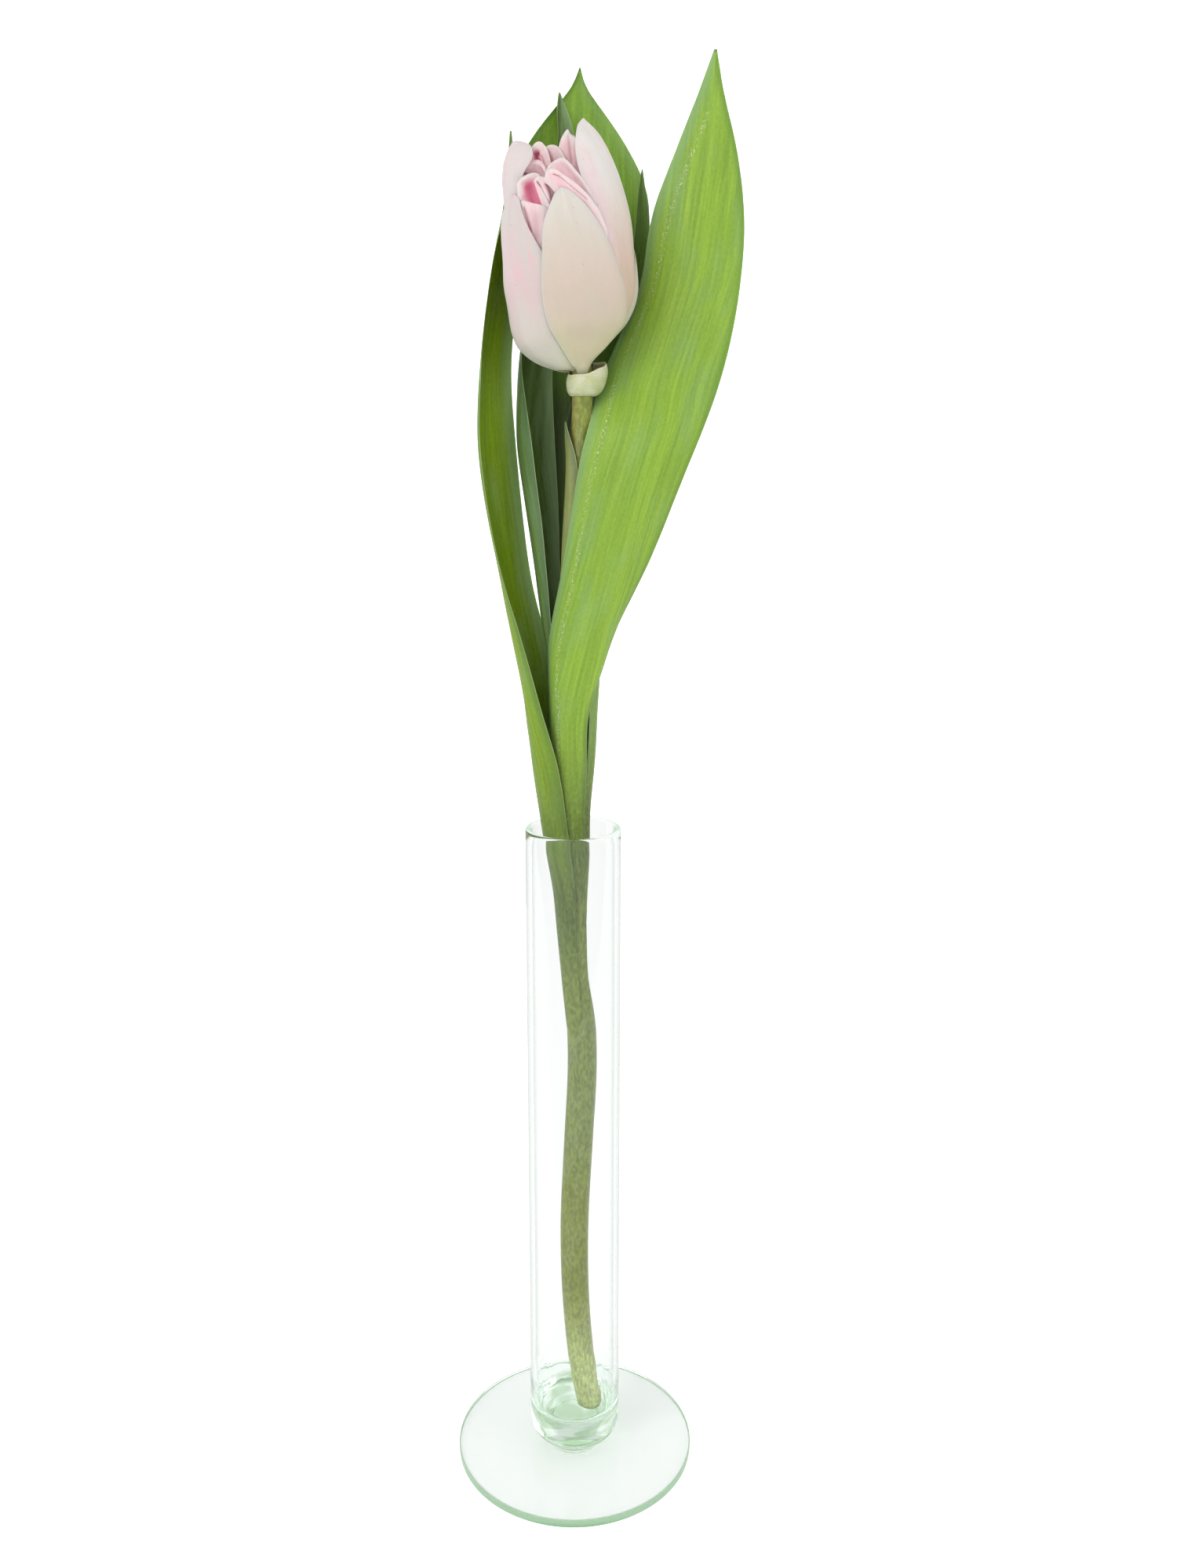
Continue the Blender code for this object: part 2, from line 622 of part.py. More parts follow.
def back_leaf():
    """The broad leaf behind the bud, whose sheath closes round the stem."""
    clasp = [
        clasp_section(190, 3.8, 57, 105, 105),
        clasp_section(204, 4.6, 57, 108, 108),
        clasp_section(214, 5.4, 57, 110, 110),
        clasp_section(224, 5.4, 57, 110, 110),
        ring_section(245, (0.7, 6.7), 6.05, 57, 108, 100),
        ring_section(262, (1.2, 6.9), 6.3, 57, 106, 94),
        ring_section(275, (1.2, 8.0), 7.2, 60, 96, 86),
    ]
    blade = [
        margin_section(286, (7.6, 7.0), (-7.0, 15.2), 5.3),
        margin_section(298, (10.5, 8.5), (-8.5, 17.5), 4.8),
        margin_section(330, (17.0, 16.0), (-11.0, 25.2), 5.5),
        margin_section(365, (22.0, 20.0), (-15.0, 28.0), 5.0),
        margin_section(390, (23.4, 23.0), (-19.0, 27.0), 5.5),
        margin_section(405, (23.2, 24.0), (-20.0, 26.5), 5.2),
        margin_section(413.5, (22.4, 24.0), (-19.2, 26.0), 4.6),
        margin_section(422.2, (17.6, 24.5), (-15.7, 25.4), 3.4),
        margin_section(430.7, (12.2, 25.0), (-9.9, 25.3), 2.0),
        margin_section(439.2, (5.7, 25.6), (-2.1, 25.6), 0.6),
        margin_section(443, (3.7, 25.9), (0.7, 25.9), 0.2),
        margin_section(446.6, (2.5, 26.0), (2.1, 26.0), 0.02),
    ]
    return clasp + blade


def torn_stub():
    """What is left of a stripped leaf: a thin sleeve round the stem, torn off under the bud."""
    return [
        clasp_section(204, 3.65, 200, 95, 95),
        clasp_section(224, 3.7, 200, 95, 95),
        clasp_section(243, 3.7, 200, 97, 97),
        clasp_section(262, 3.7, 200, 100, 98),
        clasp_section(281, 3.7, 200, 103, 99),
        clasp_section(300, 3.7, 200, 105, 100),
        clasp_section(312, 3.75, 200, 98, 90),
        clasp_section(325, 3.75, 200, 90, 75),
        clasp_section(338, 4.1, 200, 62, 50),
        clasp_section(343.5, 4.9, 196, 34, 24),
        clasp_section(347.5, 5.1, 190, 4, 4),
    ]


def make_leaves(collection):
    """The five leaves and the torn one."""
    green = colour_material("leaf_green", LEAF_GREEN, 0.4)
    bloom = colour_material("leaf_bloom", LEAF_BLOOM, 0.5)
    leaves = (
        ("leaf_right", right_leaf(), LEAF_ACROSS, LEAF_ALONG, green),
        ("leaf_left", left_leaf(), LEAF_ACROSS, LEAF_ALONG, green),
        ("leaf_folded", folded_leaf(), LEAF_ACROSS, LEAF_ALONG, bloom),
        ("leaf_small", small_leaf(), LEAF_ACROSS, LEAF_ALONG, bloom),
        ("leaf_back", back_leaf(), LEAF_ACROSS, LEAF_ALONG, green),
        ("torn_leaf_stub", torn_stub(), STUB_ACROSS, STUB_ALONG, bloom),
    )
    for name, sections, across, along, material in leaves:
        def surface(u, v, sections=sections):
            return leaf_points(sections, u, v)
        add_sheet(name, surface, across, along, LEAF_THICK, collection, material)


def inner_rows(layer, middle, half, base, top):
    """Rows of an inner petal: narrow at its base, widest past its middle, blunt at its top."""
    rise = top - base
    rows = []
    for part, width in INNER_SHAPE:
        rows.append((base + rise * part, middle - half * width, middle + half * width, layer, layer))
    return rows


def make_petals(collection):
    """The outer petals, and the small crowded ones inside them."""
    cream = colour_material("petal_cream", PETAL_CREAM, 0.5)
    pink = colour_material("petal_pink", PETAL_PINK, 0.5)
    for name, rows in OUTER_PETALS:
        def surface(u, v, rows=rows):
            return petal_points(rows, u, v)
        add_sheet(name, surface, PETAL_ACROSS, PETAL_ALONG, PETAL_THICK, collection, cream)
    for number, petal in enumerate(INNER_PETALS, start=1):
        def surface(u, v, rows=inner_rows(*petal)):
            return petal_points(rows, u, v)
        name = f"inner_petal_{number:02d}"
        add_sheet(name, surface, INNER_ACROSS, INNER_ALONG, PETAL_THICK, collection, pink)


def make_bract(collection):
    """The small bract, curled into a cup under the bud."""
    cream = colour_material("bract_cream", BRACT_CREAM, 0.45)

    def surface(u, v):
        azimuth = np.radians(BRACT_SLIT + 180 + u * (180 - BRACT_GAP / 2))
        low = BRACT_RINGS[0][0]
        height = low + (BRACT_RINGS[-1][0] - low) * v
        radius, middle = curve_through(BRACT_RINGS, height).T
        x = middle + radius * np.cos(azimuth)
        y = BUD_BASE[1] + radius * np.sin(azimuth)
        z = height + BRACT_RISE * (v * (1 + np.cos(azimuth)) / 2)**2
        return np.stack((x, y, z), axis=-1)

    add_sheet("curled_bract", surface, BRACT_ACROSS, BRACT_ALONG, LEAF_THICK, collection, cream)


def on_bud_axis(height, out, azimuth):
    """A world point at a height along the bud's axis, out from it at an azimuth."""
    lean = math.radians(BUD_LEAN)
    side = out * math.cos(azimuth)
    x = BUD_BASE[0] + side * math.cos(lean) - height * math.sin(lean)
    z = BUD_BASE[2] + side * math.sin(lean) + height * math.cos(lean)
    return x, BUD_BASE[1] + out * math.sin(azimuth), z


def make_middle(collection):
    """The pistil and the stamens round it."""
    green = colour_material("pistil_green", PISTIL_GREEN, 0.5)
    yellow = colour_material("anther_yellow", ANTHER_YELLOW, 0.8)
    centres = [on_bud_axis(height, 0, 0) for height, _ in PISTIL]
    radii = [radius for _, radius in PISTIL]
    lobes = (PISTIL_LOBES, PISTIL_LOBE_DEPTH)
    add_rod("pistil", centres, radii, PISTIL_SIDES, collection, green, *lobes)
    part = np.linspace(0, 1, len(STAMEN_RADII))
    heights = STAMEN_FOOT[0] + (STAMEN_TOP[0] - STAMEN_FOOT[0]) * part
    outs = STAMEN_FOOT[1] + (STAMEN_TOP[1] - STAMEN_FOOT[1]) * part
    for number in range(STAMENS):
        azimuth = 2 * math.pi * (number + 0.5) / STAMENS
        centres = [on_bud_axis(height, out, azimuth) for height, out in zip(heights, outs)]
        name = f"stamen_{number + 1}"
        add_rod(name, centres, STAMEN_RADII, STAMEN_SIDES, collection, yellow)


def main():
    """Clear the scene and make every piece."""
    for item in list(bpy.data.objects):
        bpy.data.objects.remove(item, do_unlink=True)
    collection = bpy.data.collections.new("tulip_in_vase")
    bpy.context.scene.collection.children.link(collection)
    glass = glass_material("vase_glass")
    make_foot(collection, glass)
    make_tube(collection, glass)
    make_stem(collection, colour_material("stem_green", STEM_GREEN, 0.45))
    make_leaves(collection)
    make_bract(collection)
    make_petals(collection)
    make_middle(collection)


main()
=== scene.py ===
"""Tulip in a glass bud vase: the finish of every surface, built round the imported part.

Shapes are worked out in millimetres, in the part's own frame: the origin is the centre of the
underside of the foot, and +Z is up. A mesh is turned into metres when it is made. Azimuths are
seen from above: 0 is +X and 90 is +Y, and the flower's front faces -90.
"""
import math

import bpy
import numpy as np
from bpy.props import FloatProperty, FloatVectorProperty, PointerProperty
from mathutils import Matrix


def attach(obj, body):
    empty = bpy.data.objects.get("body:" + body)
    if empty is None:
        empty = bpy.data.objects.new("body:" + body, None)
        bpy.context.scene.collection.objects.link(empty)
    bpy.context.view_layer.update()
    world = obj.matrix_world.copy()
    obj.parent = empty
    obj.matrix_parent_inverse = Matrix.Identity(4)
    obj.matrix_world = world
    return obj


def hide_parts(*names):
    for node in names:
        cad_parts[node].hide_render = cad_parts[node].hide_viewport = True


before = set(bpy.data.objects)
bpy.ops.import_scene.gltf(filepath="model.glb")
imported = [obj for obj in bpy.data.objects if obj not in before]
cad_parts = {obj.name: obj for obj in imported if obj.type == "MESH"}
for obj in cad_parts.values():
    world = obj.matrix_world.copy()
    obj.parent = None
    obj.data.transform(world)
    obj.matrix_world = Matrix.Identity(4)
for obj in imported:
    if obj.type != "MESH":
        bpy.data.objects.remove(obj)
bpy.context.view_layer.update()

bl_info = {
    "name": "Tulip in a bud vase",
    "version": (1, 0, 0),
    "blender": (4, 5, 0),
    "location": "View3D > Sidebar > Tulip",
    "description": "Builds the petals, leaves, stem and glass of a tulip in a bud vase",
    "category": "Add Mesh",
}

MM = 0.001
BODY = "root"


# Curves

def curve_through(rows, at):
    """Values on the smooth curve through rows, whose first column is the key, at the keys given.

    Each stretch is a cubic that keeps the rows' values, with slopes averaged from its neighbours.
    """
    rows = np.asarray(rows, float)
    key = rows[:, 0]
    value = rows[:, 1:]
    step = np.diff(key)[:, None]
    slope = np.diff(value, axis=0) / step
    tangent = np.empty_like(value)
    tangent[0] = slope[0]
    tangent[-1] = slope[-1]
    tangent[1:-1] = (slope[:-1] * step[1:] + slope[1:] * step[:-1]) / (step[1:] + step[:-1])
    at = np.asarray(at, float)
    flat = at.ravel()
    i = np.clip(np.searchsorted(key, flat, side="right") - 1, 0, len(key) - 2)
    f = ((flat - key[i]) / (key[i + 1] - key[i]))[:, None]
    h = step[i]
    start = (2 * f**3 - 3 * f**2 + 1) * value[i] + (f**3 - 2 * f**2 + f) * h * tangent[i]
    end = (3 * f**2 - 2 * f**3) * value[i + 1] + (f**3 - f**2) * h * tangent[i + 1]
    return (start + end).reshape(at.shape + (value.shape[1],))


def eased(rows, spread):
    """Rows averaged over their neighbours with a bell-shaped weight, the two ends held."""
    reach = int(3 * spread)
    weight = np.exp(-0.5 * (np.arange(-reach, reach + 1) / spread)**2)
    weight /= weight.sum()
    head = 2 * rows[0] - rows[reach:0:-1]
    tail = 2 * rows[-1] - rows[-2:-reach - 2:-1]
    long = np.concatenate((head, rows, tail))
    return np.stack([np.convolve(column, weight, mode="valid") for column in long.T], axis=-1)


def smooth_step(low, high, value):
    """0 below low, 1 above high, and an S-shaped cubic between them."""
    share = np.clip((value - low) / (high - low), 0, 1)
    return share**2 * (3 - 2 * share)


def ends_close(count):
    """Numbers from 0 to 1 that crowd at both ends, as the heights of points round a circle."""
    return (1 - np.cos(np.linspace(0, math.pi, count))) / 2


def margins_close(count):
    """A row of numbers from -1 to 1 that crowd at both ends."""
    return np.sin(np.linspace(-math.pi / 2, math.pi / 2, count))[None, :]


def stacked(x, y, z):
    """Points from three arrays, stretched to one shape."""
    return np.stack(np.broadcast_arrays(x, y, z), axis=-1)


# Stem and leaves: the stations of the part

STEM_LINE = (                   # height, x, y, radius
    (17.3, 5.2, -0.8, 4.3), (30, 3.0, -0.5, 4.4), (55, 0.6, 0.2, 4.5), (85, 0.0, 1.0, 4.7),
    (115, 1.4, 1.8, 4.8), (148, 2.8, 2.7, 4.8), (160, 2.3, 3.0, 4.7), (168, 1.4, 3.4, 4.0),
    (178, 0.7, 3.7, 3.3), (190, 0.2, 4.0, 3.1), (224, -0.5, 4.9, 3.1), (262, -0.8, 5.0, 3.1),
    (298, 0.1, 5.0, 3.1), (326, 1.7, 5.0, 3.05), (352, 3.0, 5.0, 3.0), (361, 3.0, 5.0, 2.9),
    (366, 2.45, 5.0, 2.7), (371, 1.9, 5.0, 2.7),
)


def ring_section(height, x, y, radius, facing, left, right):
    """An arc round (x, y); left and right are the angles that it covers from the midrib."""
    a = math.radians(facing)
    width = math.radians(left) * radius, math.radians(right) * radius
    return (height, x + radius * math.cos(a), y + radius * math.sin(a), facing, 1 / radius, *width)


def clasp_section(height, radius, facing, left, right):
    """An arc round the stem, where a leaf's base clasps it."""
    x, y, _ = curve_through(STEM_LINE, np.array([height]))[0]
    return ring_section(height, x, y, radius, facing, left, right)


def margin_section(height, left_x, left_y, right_x, right_y, bulge):
    """An arc between the places of two margins, that stands out from their chord by bulge."""
    run_x = right_x - left_x
    run_y = right_y - left_y
    run = math.hypot(run_x, run_y)
    x = (left_x + right_x) / 2 + run_y / run * bulge
    y = (left_y + right_y) / 2 - run_x / run * bulge
    half_angle = 2 * math.atan2(2 * bulge, run)
    curvature = math.sin(half_angle) / (run / 2)
    width = half_angle / curvature
    facing = math.degrees(math.atan2(-run_x, run_y))
    return (height, x, y, facing, curvature, width, width)


# The stations of each leaf, from its foot up. A row of five numbers is a clasp_section, one of
# six a margin_section, and one of seven a ring_section.
SECTION_KINDS = {5: clasp_section, 6: margin_section, 7: ring_section}
EASED_OVER = 4.0                # millimetres up a leaf over which its sections are averaged
RIGHT_LEAF = (
    (161, 4.3, -92, 84, 78), (170, 3.95, -92, 82, 77), (180, 3.95, -92, 80, 75),
    (190, 4.7, -92, 70, 62), (204, 5.5, -92, 64, 48), (214, 6.25, -92, 62, 44), (224, 6.3, -92, 60, 42),
    (245, -0.6, 4.7, 6.7, -92, 80, 50), (262, -0.4, 4.6, 6.9, -92, 79, 54),
    (275, -7.3, 3.5, 10, 3.2, 7.2), (283, -6.7, 3, 12.8, 3, 6.8), (298, -4.2, 1.3, 19.2, 1, 6.2),
    (312, -2, 0.4, 25, -1, 5.5), (326, 0.3, 0, 30.7, -2, 5), (341, 3.7, 0, 37.1, -2.5, 4.6),
    (346, 5.4, 0.9, 39, -1.8, 4.5), (350, 6.6, 5.4, 40.3, -1, 4.4), (354, 6.9, 9.9, 41.8, 0, 4.35),
    (358, 8.7, 11.7, 43.1, 1.3, 4.3), (364, 10.8, 13.2, 44.8, 3, 4.2), (371, 13.8, 14.8, 46.4, 4.6, 4),
    (378, 17, 16.2, 47.7, 6, 3.8), (386, 20, 15, 48.8, 7.3, 3.5), (403, 22.9, 13, 49.8, 9, 3),
    (420, 29.2, 13, 47.7, 10.5, 1.8), (436, 35.4, 12.6, 43.5, 12, 0.5),
    (448, 40.2, 12.3, 41, 12.3, 0.02),
)
LEFT_LEAF = (
    (154, 4.5, 190, 88, 88), (166, 4.75, 190, 88, 88), (180, 5, 190, 88, 88), (190, 5.55, 190, 88, 88),
    (204, 6.4, 190, 88, 88), (213, -1.3, 4.6, 7.05, 190, 88, 88), (224, -2.8, 4.5, 7.1, 189.5, 89, 89),
    (237, -4.5, 4.6, 7.3, 189, 87, 90), (247, -5.5, 4.7, 7.5, 188, 90, 84),
    (256, -6.4, 4.8, 7.7, 180, 98, 78), (266, -7.2, 4.9, 8, 172, 97, 70),
    (280, -9.5, 5, 8.4, 168, 90, 63), (293, -10.9, 5, 9.5, 166, 72, 52),
    (306, -11.7, 5, 11, 160, 58, 44), (319, -15.4, 16.5, -24.5, 1.5, 4.2),
    (341, -17.3, 17, -27.4, 0, 4), (363, -18.6, 19, -26.1, 3.5, 3.4), (381, -17, 22, -24.2, 8, 2.8),
    (398, -16, 23, -21.8, 13, 2), (413, -16.5, 23, -19.2, 18, 1), (428.5, -17.8, 21, -18.2, 20.4, 0.02),
)
FOLDED_LEAF = (
    (214, 4.55, 172, 68, 68), (224, 4.6, 172, 68, 68), (250, 4.7, 170, 70, 68),
    (270, -0.9, 5.6, 5.3, 162, 76, 62), (288, -3, 13, -6.7, 5.5, 4.8), (305, -4.2, 17.5, -8.1, 6, 5.5),
    (315, -4.4, 20, -9.1, 7, 6.5), (330, -5, 22.5, -11, 8, 7.5), (341, -5.6, 24.5, -12.1, 9, 8),
    (352, -6, 25, -13.7, 12.5, 6.8), (364, -6.3, 25.5, -15.1, 17, 5), (378, -3, 27, -14, 21.5, 3.6),
    (392, 1, 27.3, -11.5, 23.8, 3), (410, 2, 26.2, -7, 23.2, 2.8), (425, 1.4, 23.8, -4, 20.8, 2.4),
    (433, -0.9, 23.9, -3.9, 22.3, 1.2), (439.5, -3.3, 24, -3.8, 23.7, 0.02),
)
SMALL_LEAF = (
    (214, 4.55, 12, 58, 58), (224, 4.6, 12, 58, 58), (250, 4.7, 12, 60, 58),
    (270, -0.3, 5.6, 5, 20, 62, 58), (295, 5.7, 6.6, -0.6, 12, 3), (320, 8.5, 10, -1.8, 17, 2.6),
    (350, 12.5, 14.5, -1.4, 22, 2.4), (370, 18, 16.2, 8, 23.5, 1.6), (385, 21.3, 16.6, 15, 23.5, 1.2),
    (403, 22.9, 17, 18.9, 22, 0.8), (412, 21.8, 17.8, 19.2, 21, 0.4),
    (418, 20.6, 19.3, 20.3, 19.8, 0.02),
)
BACK_LEAF = (
    (190, 3.8, 57, 105, 105), (204, 4.6, 57, 108, 108), (214, 5.4, 57, 110, 110),
    (224, 5.4, 57, 110, 110), (245, 0.7, 6.7, 6.05, 57, 108, 100), (262, 1.2, 6.9, 6.3, 57, 106, 94),
    (275, 1.2, 8, 7.2, 60, 96, 86), (286, 7.6, 7, -7, 15.2, 5.3), (298, 10.5, 8.5, -8.5, 17.5, 4.8),
    (330, 17, 16, -11, 25.2, 5.5), (365, 22, 20, -15, 28, 5), (390, 23.4, 23, -19, 27, 5.5),
    (405, 23.2, 24, -20, 26.5, 5.2), (413.5, 22.4, 24, -19.2, 26, 4.6),
    (422.2, 17.6, 24.5, -15.7, 25.4, 3.4), (430.7, 12.2, 25, -9.9, 25.3, 2),
    (439.2, 5.7, 25.6, -2.1, 25.6, 0.6), (443, 3.7, 25.9, 0.7, 25.9, 0.2),
    (446.6, 2.5, 26, 2.1, 26, 0.02),
)
TORN_STUB = (
    (204, 3.65, 200, 95, 95), (224, 3.7, 200, 95, 95), (243, 3.7, 200, 97, 97),
    (262, 3.7, 200, 100, 98), (281, 3.7, 200, 103, 99), (300, 3.7, 200, 105, 100),
    (312, 3.75, 200, 98, 90), (325, 3.75, 200, 90, 75), (338, 4.1, 200, 62, 50),
    (343.5, 4.9, 196, 34, 24), (347.5, 5.1, 190, 4, 4),
)


def leaf_points(stations, u, v):
    """Points of a leaf; u runs from -1 to 1 across it and v from 0 to 1 up it.

    At each height the section's arc runs sideways from the midrib by u half widths. The
    sections' numbers are eased along the leaf first, so that no station shows as a ridge.
    """
    rows = np.array([SECTION_KINDS[len(row)](*row) for row in stations])
    rows[:, 3] = np.degrees(np.unwrap(np.radians(rows[:, 3])))
    height = rows[0, 0] + (rows[-1, 0] - rows[0, 0]) * v[:, 0]
    spacing = (rows[-1, 0] - rows[0, 0]) / len(height)
    values = eased(curve_through(rows, height), EASED_OVER / spacing)
    x, y, facing, curvature, left, right = (column[:, None] for column in values.T)
    half = np.maximum(np.where(u < 0, left, right), 0.05)
    turn = curvature * u * half
    curvature = np.where(np.abs(curvature) < 1e-6, 1e-6, curvature)
    sideways = np.sin(turn) / curvature
    inwards = (1 - np.cos(turn)) / curvature
    a = np.radians(facing)
    px = x - np.sin(a) * sideways - np.cos(a) * inwards
    py = y + np.cos(a) * sideways - np.sin(a) * inwards
    return stacked(px, py, height[:, None])


def ribbed(middle, u, wave, sunk):
    """A leaf's points with ribs and waving margins, and how far along it they lie past its foot.

    Two cosines of the distance across make the ribs. The margins wave by the fourth power of u
    times a sine of the way along, as high as wave, which grows between 60 and 110 mm.
    """
    across = lengths_along(middle, 1)
    across = across - across[:, -1:] / 2
    along = lengths_along(middle, 0) - sunk
    ribs = 0.035 * np.cos(across * 2.6 + 1.2) + 0.02 * np.cos(across * 6.1)
    margin = np.abs(u)**4 * wave * np.sin(along / 11 + across / 9)
    calm = smooth_step(60, 110, along)
    return middle + normals_of(middle) * (ribs + margin * calm)[..., None], along


# Bud: the outline and the petals of the part

BUD_BASE = (3.0, 5.0, 360.5)
BUD_LEAN = 6.0                  # degrees, to the left
LAYER = 1.3                     # depth of one layer of petals
TIP_SHARE = 0.0025              # square of the share of its width that a petal's tip keeps
FULL_OUTLINE = (                # way up a petal, height along the axis, radius
    (-2, -1.4, 2.7), (0, 0.0, 3.3), (3, 0.7, 7.0), (6, 2.0, 10.3), (9, 4.2, 13.8), (12, 7.7, 17.3),
    (16, 12.5, 19.0), (20, 20.0, 19.4), (26, 26.0, 19.9), (32, 32.0, 19.6), (42, 42.0, 18.8),
    (50, 50.0, 17.9), (56, 56.0, 16.9), (60, 60.0, 15.3), (64, 64.0, 12.6), (68, 68.0, 9.5),
)
SLIM_OUTLINE = (
    (-2, -1.2, 2.8), (0, 0.6, 3.3), (3, 2.6, 4.3), (6, 5.4, 7.5), (9, 8.4, 10.8), (12, 11.5, 14.2),
    (16, 15.8, 17.0), (20, 20.0, 18.4), (26, 26.0, 18.9), (32, 32.0, 18.9), (39, 39.0, 18.6),
    (47.5, 47.5, 16.9), (54, 54.0, 15.0), (61, 61.0, 12.1), (68, 68.0, 7.8),
)
FULL_SIDE = 180.0               # azimuth of the bud's full side
FRONT_REACH = (30.0, 85.0)      # angles from it over which the bud slims, towards the front
BACK_REACH = (30.0, 80.0)


def fullness(azimuth):
    """1 on the bud's full side, easing to 0 on its slim side."""
    turn = (azimuth - FULL_SIDE + 180) % 360 - 180
    front = smooth_step(-FRONT_REACH[1], -FRONT_REACH[0], -turn)
    back = smooth_step(-BACK_REACH[1], -BACK_REACH[0], turn)
    return np.where(turn > 0, front, back)


def bud_outline(way, azimuth):
    """Height along the axis and radius, at a way up a petal and an azimuth."""
    share = fullness(azimuth)[..., None]
    full = curve_through(FULL_OUTLINE, way)
    slim = curve_through(SLIM_OUTLINE, way)
    both = full * share + slim * (1 - share)
    return both[..., 0], both[..., 1]


def on_bud_axis(height, out, azimuth):
    """World points at a height along the bud's leaning axis, out from it at an azimuth."""
    lean = math.radians(BUD_LEAN)
    a = np.radians(azimuth)
    side = out * np.cos(a)
    x = BUD_BASE[0] + side * math.cos(lean) - height * math.sin(lean)
    y = BUD_BASE[1] + out * np.sin(a)
    z = BUD_BASE[2] + side * math.sin(lean) + height * math.cos(lean)
    return stacked(x, y, z)


def bud_points(way, azimuth, depth):
    """World points at a depth under the bud's outline, measured square to it."""
    little = 0.2                # step over which the outline's slope is measured
    height, radius = bud_outline(way, azimuth)
    low = bud_outline(np.maximum(way - little, -2), azimuth)
    high = bud_outline(way + little, azimuth)
    rise = high[0] - low[0]
    spread = high[1] - low[1]
    length = np.hypot(rise, spread)
    return on_bud_axis(height + depth * spread / length, radius - depth * rise / length, azimuth)


# A petal's rows give the way up, the azimuths of its two margins, and each margin's layer, which
# is left out where both lie on the bud's outline
OUTER_PETALS = {
    "petal_front": (
        (-1.7, -124, -58), (0.2, -124, -46), (3, -122, -28), (7.5, -118, -10), (11, -118, -16),
        (15.5, -119, -31), (20, -119, -38.5), (25, -117.5, -45), (30, -115, -50.5), (35, -113, -58),
        (38.9, -110.5, -64.6), (42.6, -105.3, -72), (45.4, -100.8, -79.5), (47.3, -98.5, -85),
        (47.9, -95, -90),
    ),
    "petal_right": (
        (1, -50, -10, 1, 1), (8, -56, 22, 1, 1), (14, -52, 22, 1, 1), (20, -48, 20, 1, 1),
        (26, -51, 18, 1, 1), (30, -53.5, 14, 1, 0.95), (34, -57, 12, 1, 0.6), (40, -62, 14, 1, 0.1),
        (48, -69, 18, 0.8, 0), (54, -72, 19, 0.5, 0), (60, -68.5, 14, 0.3, 0), (63.5, -60, 4, 0.1, 0),
        (66, -46, -10), (67, -33, -21),
    ),
    "petal_front_left": (
        (-1.4, 186, 246, 0.2, 0.8), (1, 178, 248, 0.3, 0.9), (4, 170, 250, 0.3, 1), (9, 170, 252, 0, 1),
        (15, 172, 256, 0, 1), (25, 175, 256, 0, 1), (31, 179, 246, 0, 0.8), (38, 183, 235, 0, 0.4),
        (42, 189, 229, 0, 0.3), (45.5, 199, 226, 0, 0.2), (47.6, 207, 224, 0, 0.1), (48.4, 213, 221),
    ),
    "petal_left": (
        (0.2, 162, 196, 1.4, 1.4), (5, 148, 222, 1.6, 1.95), (10, 142, 224, 1.6, 1.95),
        (20, 140, 222, 1.6, 2), (32, 140, 221, 1.5, 2), (40, 142, 222, 1.3, 2),
        (46, 144, 223, 1.1, 1.8), (50, 146, 223, 0.7, 1.4), (53.5, 148, 225, 0.4, 1.1),
        (55.4, 150, 233, 0.1, 0.9), (57.2, 152, 239, 0, 0.7), (60, 156, 234, -0.2, 0.5),
        (62.2, 164, 228, -0.3, 0.3), (63.1, 174, 219, -0.3, 0.2),
    ),
    "petal_back_right": (
        (0.2, 14, 58, 0.8, 0), (4, 2, 72, 0.7, 0), (8, -8, 80, 0.6, 0), (10.5, -24, 82, 0.6, 0),
        (13, -20, 82, 0.6, 0), (17, -14, 82, 0.5, 0), (22, -11, 82, 0.5, 0), (27, -7, 80, 0.5, 0),
        (31, -2, 79, 0.3, 0), (35, 14, 77), (39, 26, 73), (44, 36, 68), (48, 44, 60), (50, 50, 53),
    ),
    "petal_back_left": (
        (1, 108, 150), (4, 86, 160, 0.6, 0), (8, 72, 164, 1, 0), (15, 66, 166, 1, 0),
        (25, 66, 167, 1, 0), (34, 69, 165, 1, 0), (42, 77, 158, 0.8, 0), (48, 88, 148, 0.4, 0),
        (52, 100, 136, 0.2, 0), (54.5, 114, 120),
    ),
    "petal_back": (
        (4, 62, 98, 2, 2), (8, 46, 112, 2, 2), (16, 42, 116, 2, 2), (28, 42, 116, 2, 2),
        (40, 46, 112, 2, 2), (48, 52, 106, 1.6, 1.6), (54, 61, 98, 1, 1), (57, 70, 91, 0.8, 0.8),
        (58.5, 78, 84, 0.7, 0.7),
    ),
}
